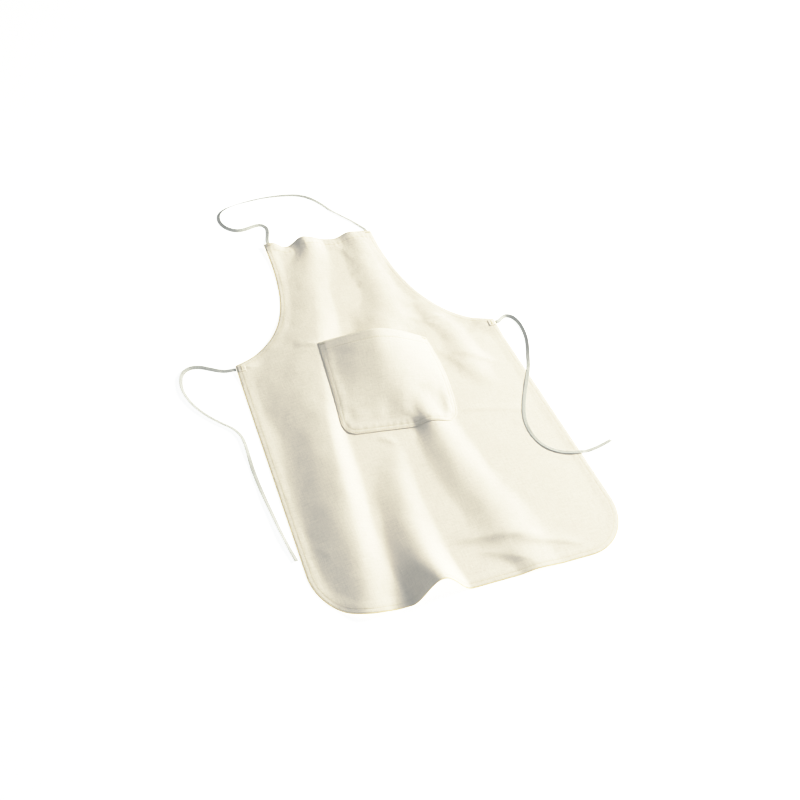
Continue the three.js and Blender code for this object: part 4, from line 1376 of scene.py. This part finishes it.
def build_table_and_light():
    far = TABLE_REACH
    mesh = bpy.data.meshes.new("Table")
    corners = [(-far, -far, 0), (far, -far, 0), (far, far, 0), (-far, far, 0)]
    mesh.from_pydata(corners, [], [(0, 1, 2, 3)])
    mesh.materials.append(finish_named("Pale table"))
    table = linked("Table", mesh)
    world = bpy.data.worlds.new("Studio")
    world.use_nodes = True
    sky = world.node_tree.nodes["Background"]
    sky.inputs["Color"].default_value = SKY_COLOUR
    sky.inputs["Strength"].default_value = SKY_STRENGTH
    bpy.context.scene.world = world
    set_tone()
    for lamp in LAMPS:
        add_lamp(*lamp)


# ------------------------------------ operators and panel
class APRON_OT_camera(bpy.types.Operator):
    """Places the camera"""

    bl_idname = "apron.camera"
    bl_label = "Camera"
    bl_options = {"REGISTER", "UNDO"}

    def execute(self, context):
        build_camera()
        return {"FINISHED"}


class APRON_OT_tapes(bpy.types.Operator):
    """Lays the neck loop and the two waist ties"""

    bl_idname = "apron.tapes"
    bl_label = "Neck Loop and Ties"
    bl_options = {"REGISTER", "UNDO"}

    def execute(self, context):
        build_tapes()
        return {"FINISHED"}


class APRON_OT_panel(bpy.types.Operator):
    """Lays the one cut panel in its folds"""

    bl_idname = "apron.panel"
    bl_label = "Panel"
    bl_options = {"REGISTER", "UNDO"}

    def execute(self, context):
        build_panel()
        return {"FINISHED"}


class APRON_OT_hems(bpy.types.Operator):
    """Turns and sews the bottom, side and armhole hems"""

    bl_idname = "apron.hems"
    bl_label = "Hems"
    bl_options = {"REGISTER", "UNDO"}

    def execute(self, context):
        build_hems()
        return {"FINISHED"}


class APRON_OT_bib_hem(bpy.types.Operator):
    """Turns and sews the wide hem across the bib's top"""

    bl_idname = "apron.bib_hem"
    bl_label = "Bib Hem"
    bl_options = {"REGISTER", "UNDO"}

    def execute(self, context):
        build_bib_hem()
        return {"FINISHED"}


class APRON_OT_pocket(bpy.types.Operator):
    """Sews the patch pocket on"""

    bl_idname = "apron.pocket"
    bl_label = "Pocket"
    bl_options = {"REGISTER", "UNDO"}

    def execute(self, context):
        build_pocket()
        return {"FINISHED"}


class APRON_OT_pocket_mouth(bpy.types.Operator):
    """Turns and sews the pocket's mouth"""

    bl_idname = "apron.pocket_mouth"
    bl_label = "Pocket Mouth"
    bl_options = {"REGISTER", "UNDO"}

    def execute(self, context):
        build_pocket_mouth()
        return {"FINISHED"}


class APRON_OT_corner_patches(bpy.types.Operator):
    """Covers the waist corners where the ties go in"""

    bl_idname = "apron.corner_patches"
    bl_label = "Corner Patches"
    bl_options = {"REGISTER", "UNDO"}

    def execute(self, context):
        build_corner_patches()
        return {"FINISHED"}


class APRON_OT_tape_ends(bpy.types.Operator):
    """Sews down the ends of the tapes"""

    bl_idname = "apron.tape_ends"
    bl_label = "Tape Ends"
    bl_options = {"REGISTER", "UNDO"}

    def execute(self, context):
        build_tape_ends()
        return {"FINISHED"}


class APRON_OT_pocket_tacks(bpy.types.Operator):
    """Bars the pocket's two top corners"""

    bl_idname = "apron.pocket_tacks"
    bl_label = "Pocket Tacks"
    bl_options = {"REGISTER", "UNDO"}

    def execute(self, context):
        build_pocket_tacks()
        return {"FINISHED"}


class APRON_OT_table(bpy.types.Operator):
    """Sets up the table and the studio light"""

    bl_idname = "apron.table"
    bl_label = "Table and Light"
    bl_options = {"REGISTER", "UNDO"}

    def execute(self, context):
        build_table_and_light()
        return {"FINISHED"}


OPERATORS = (
    APRON_OT_camera,
    APRON_OT_tapes,
    APRON_OT_panel,
    APRON_OT_hems,
    APRON_OT_bib_hem,
    APRON_OT_pocket,
    APRON_OT_pocket_mouth,
    APRON_OT_corner_patches,
    APRON_OT_tape_ends,
    APRON_OT_pocket_tacks,
    APRON_OT_table,
)


class APRON_PT_build(bpy.types.Panel):
    """Lists the sizes and colours, and builds the apron piece by piece"""

    bl_label = "Canvas Bib Apron"
    bl_idname = "APRON_PT_build"
    bl_space_type = "VIEW_3D"
    bl_region_type = "UI"
    bl_category = "Apron"

    def draw(self, context):
        for settings in (context.scene.apron_sizes, context.scene.apron_colours):
            for key in type(settings).__annotations__:
                self.layout.prop(settings, key)
        for kind in OPERATORS:
            self.layout.operator(kind.bl_idname)


CLASSES = (ApronSizes, ApronColours, *OPERATORS, APRON_PT_build)


def register():
    for kind in CLASSES:
        bpy.utils.register_class(kind)
    bpy.types.Scene.apron_sizes = bpy.props.PointerProperty(type=ApronSizes)
    bpy.types.Scene.apron_colours = bpy.props.PointerProperty(type=ApronColours)


def unregister():
    del bpy.types.Scene.apron_colours
    del bpy.types.Scene.apron_sizes
    for kind in reversed(CLASSES):
        bpy.utils.unregister_class(kind)


def main():
    register()
    for kind in OPERATORS:
        group, name = kind.bl_idname.split(".")
        getattr(getattr(bpy.ops, group), name)()


if __name__ == "__main__":
    main()
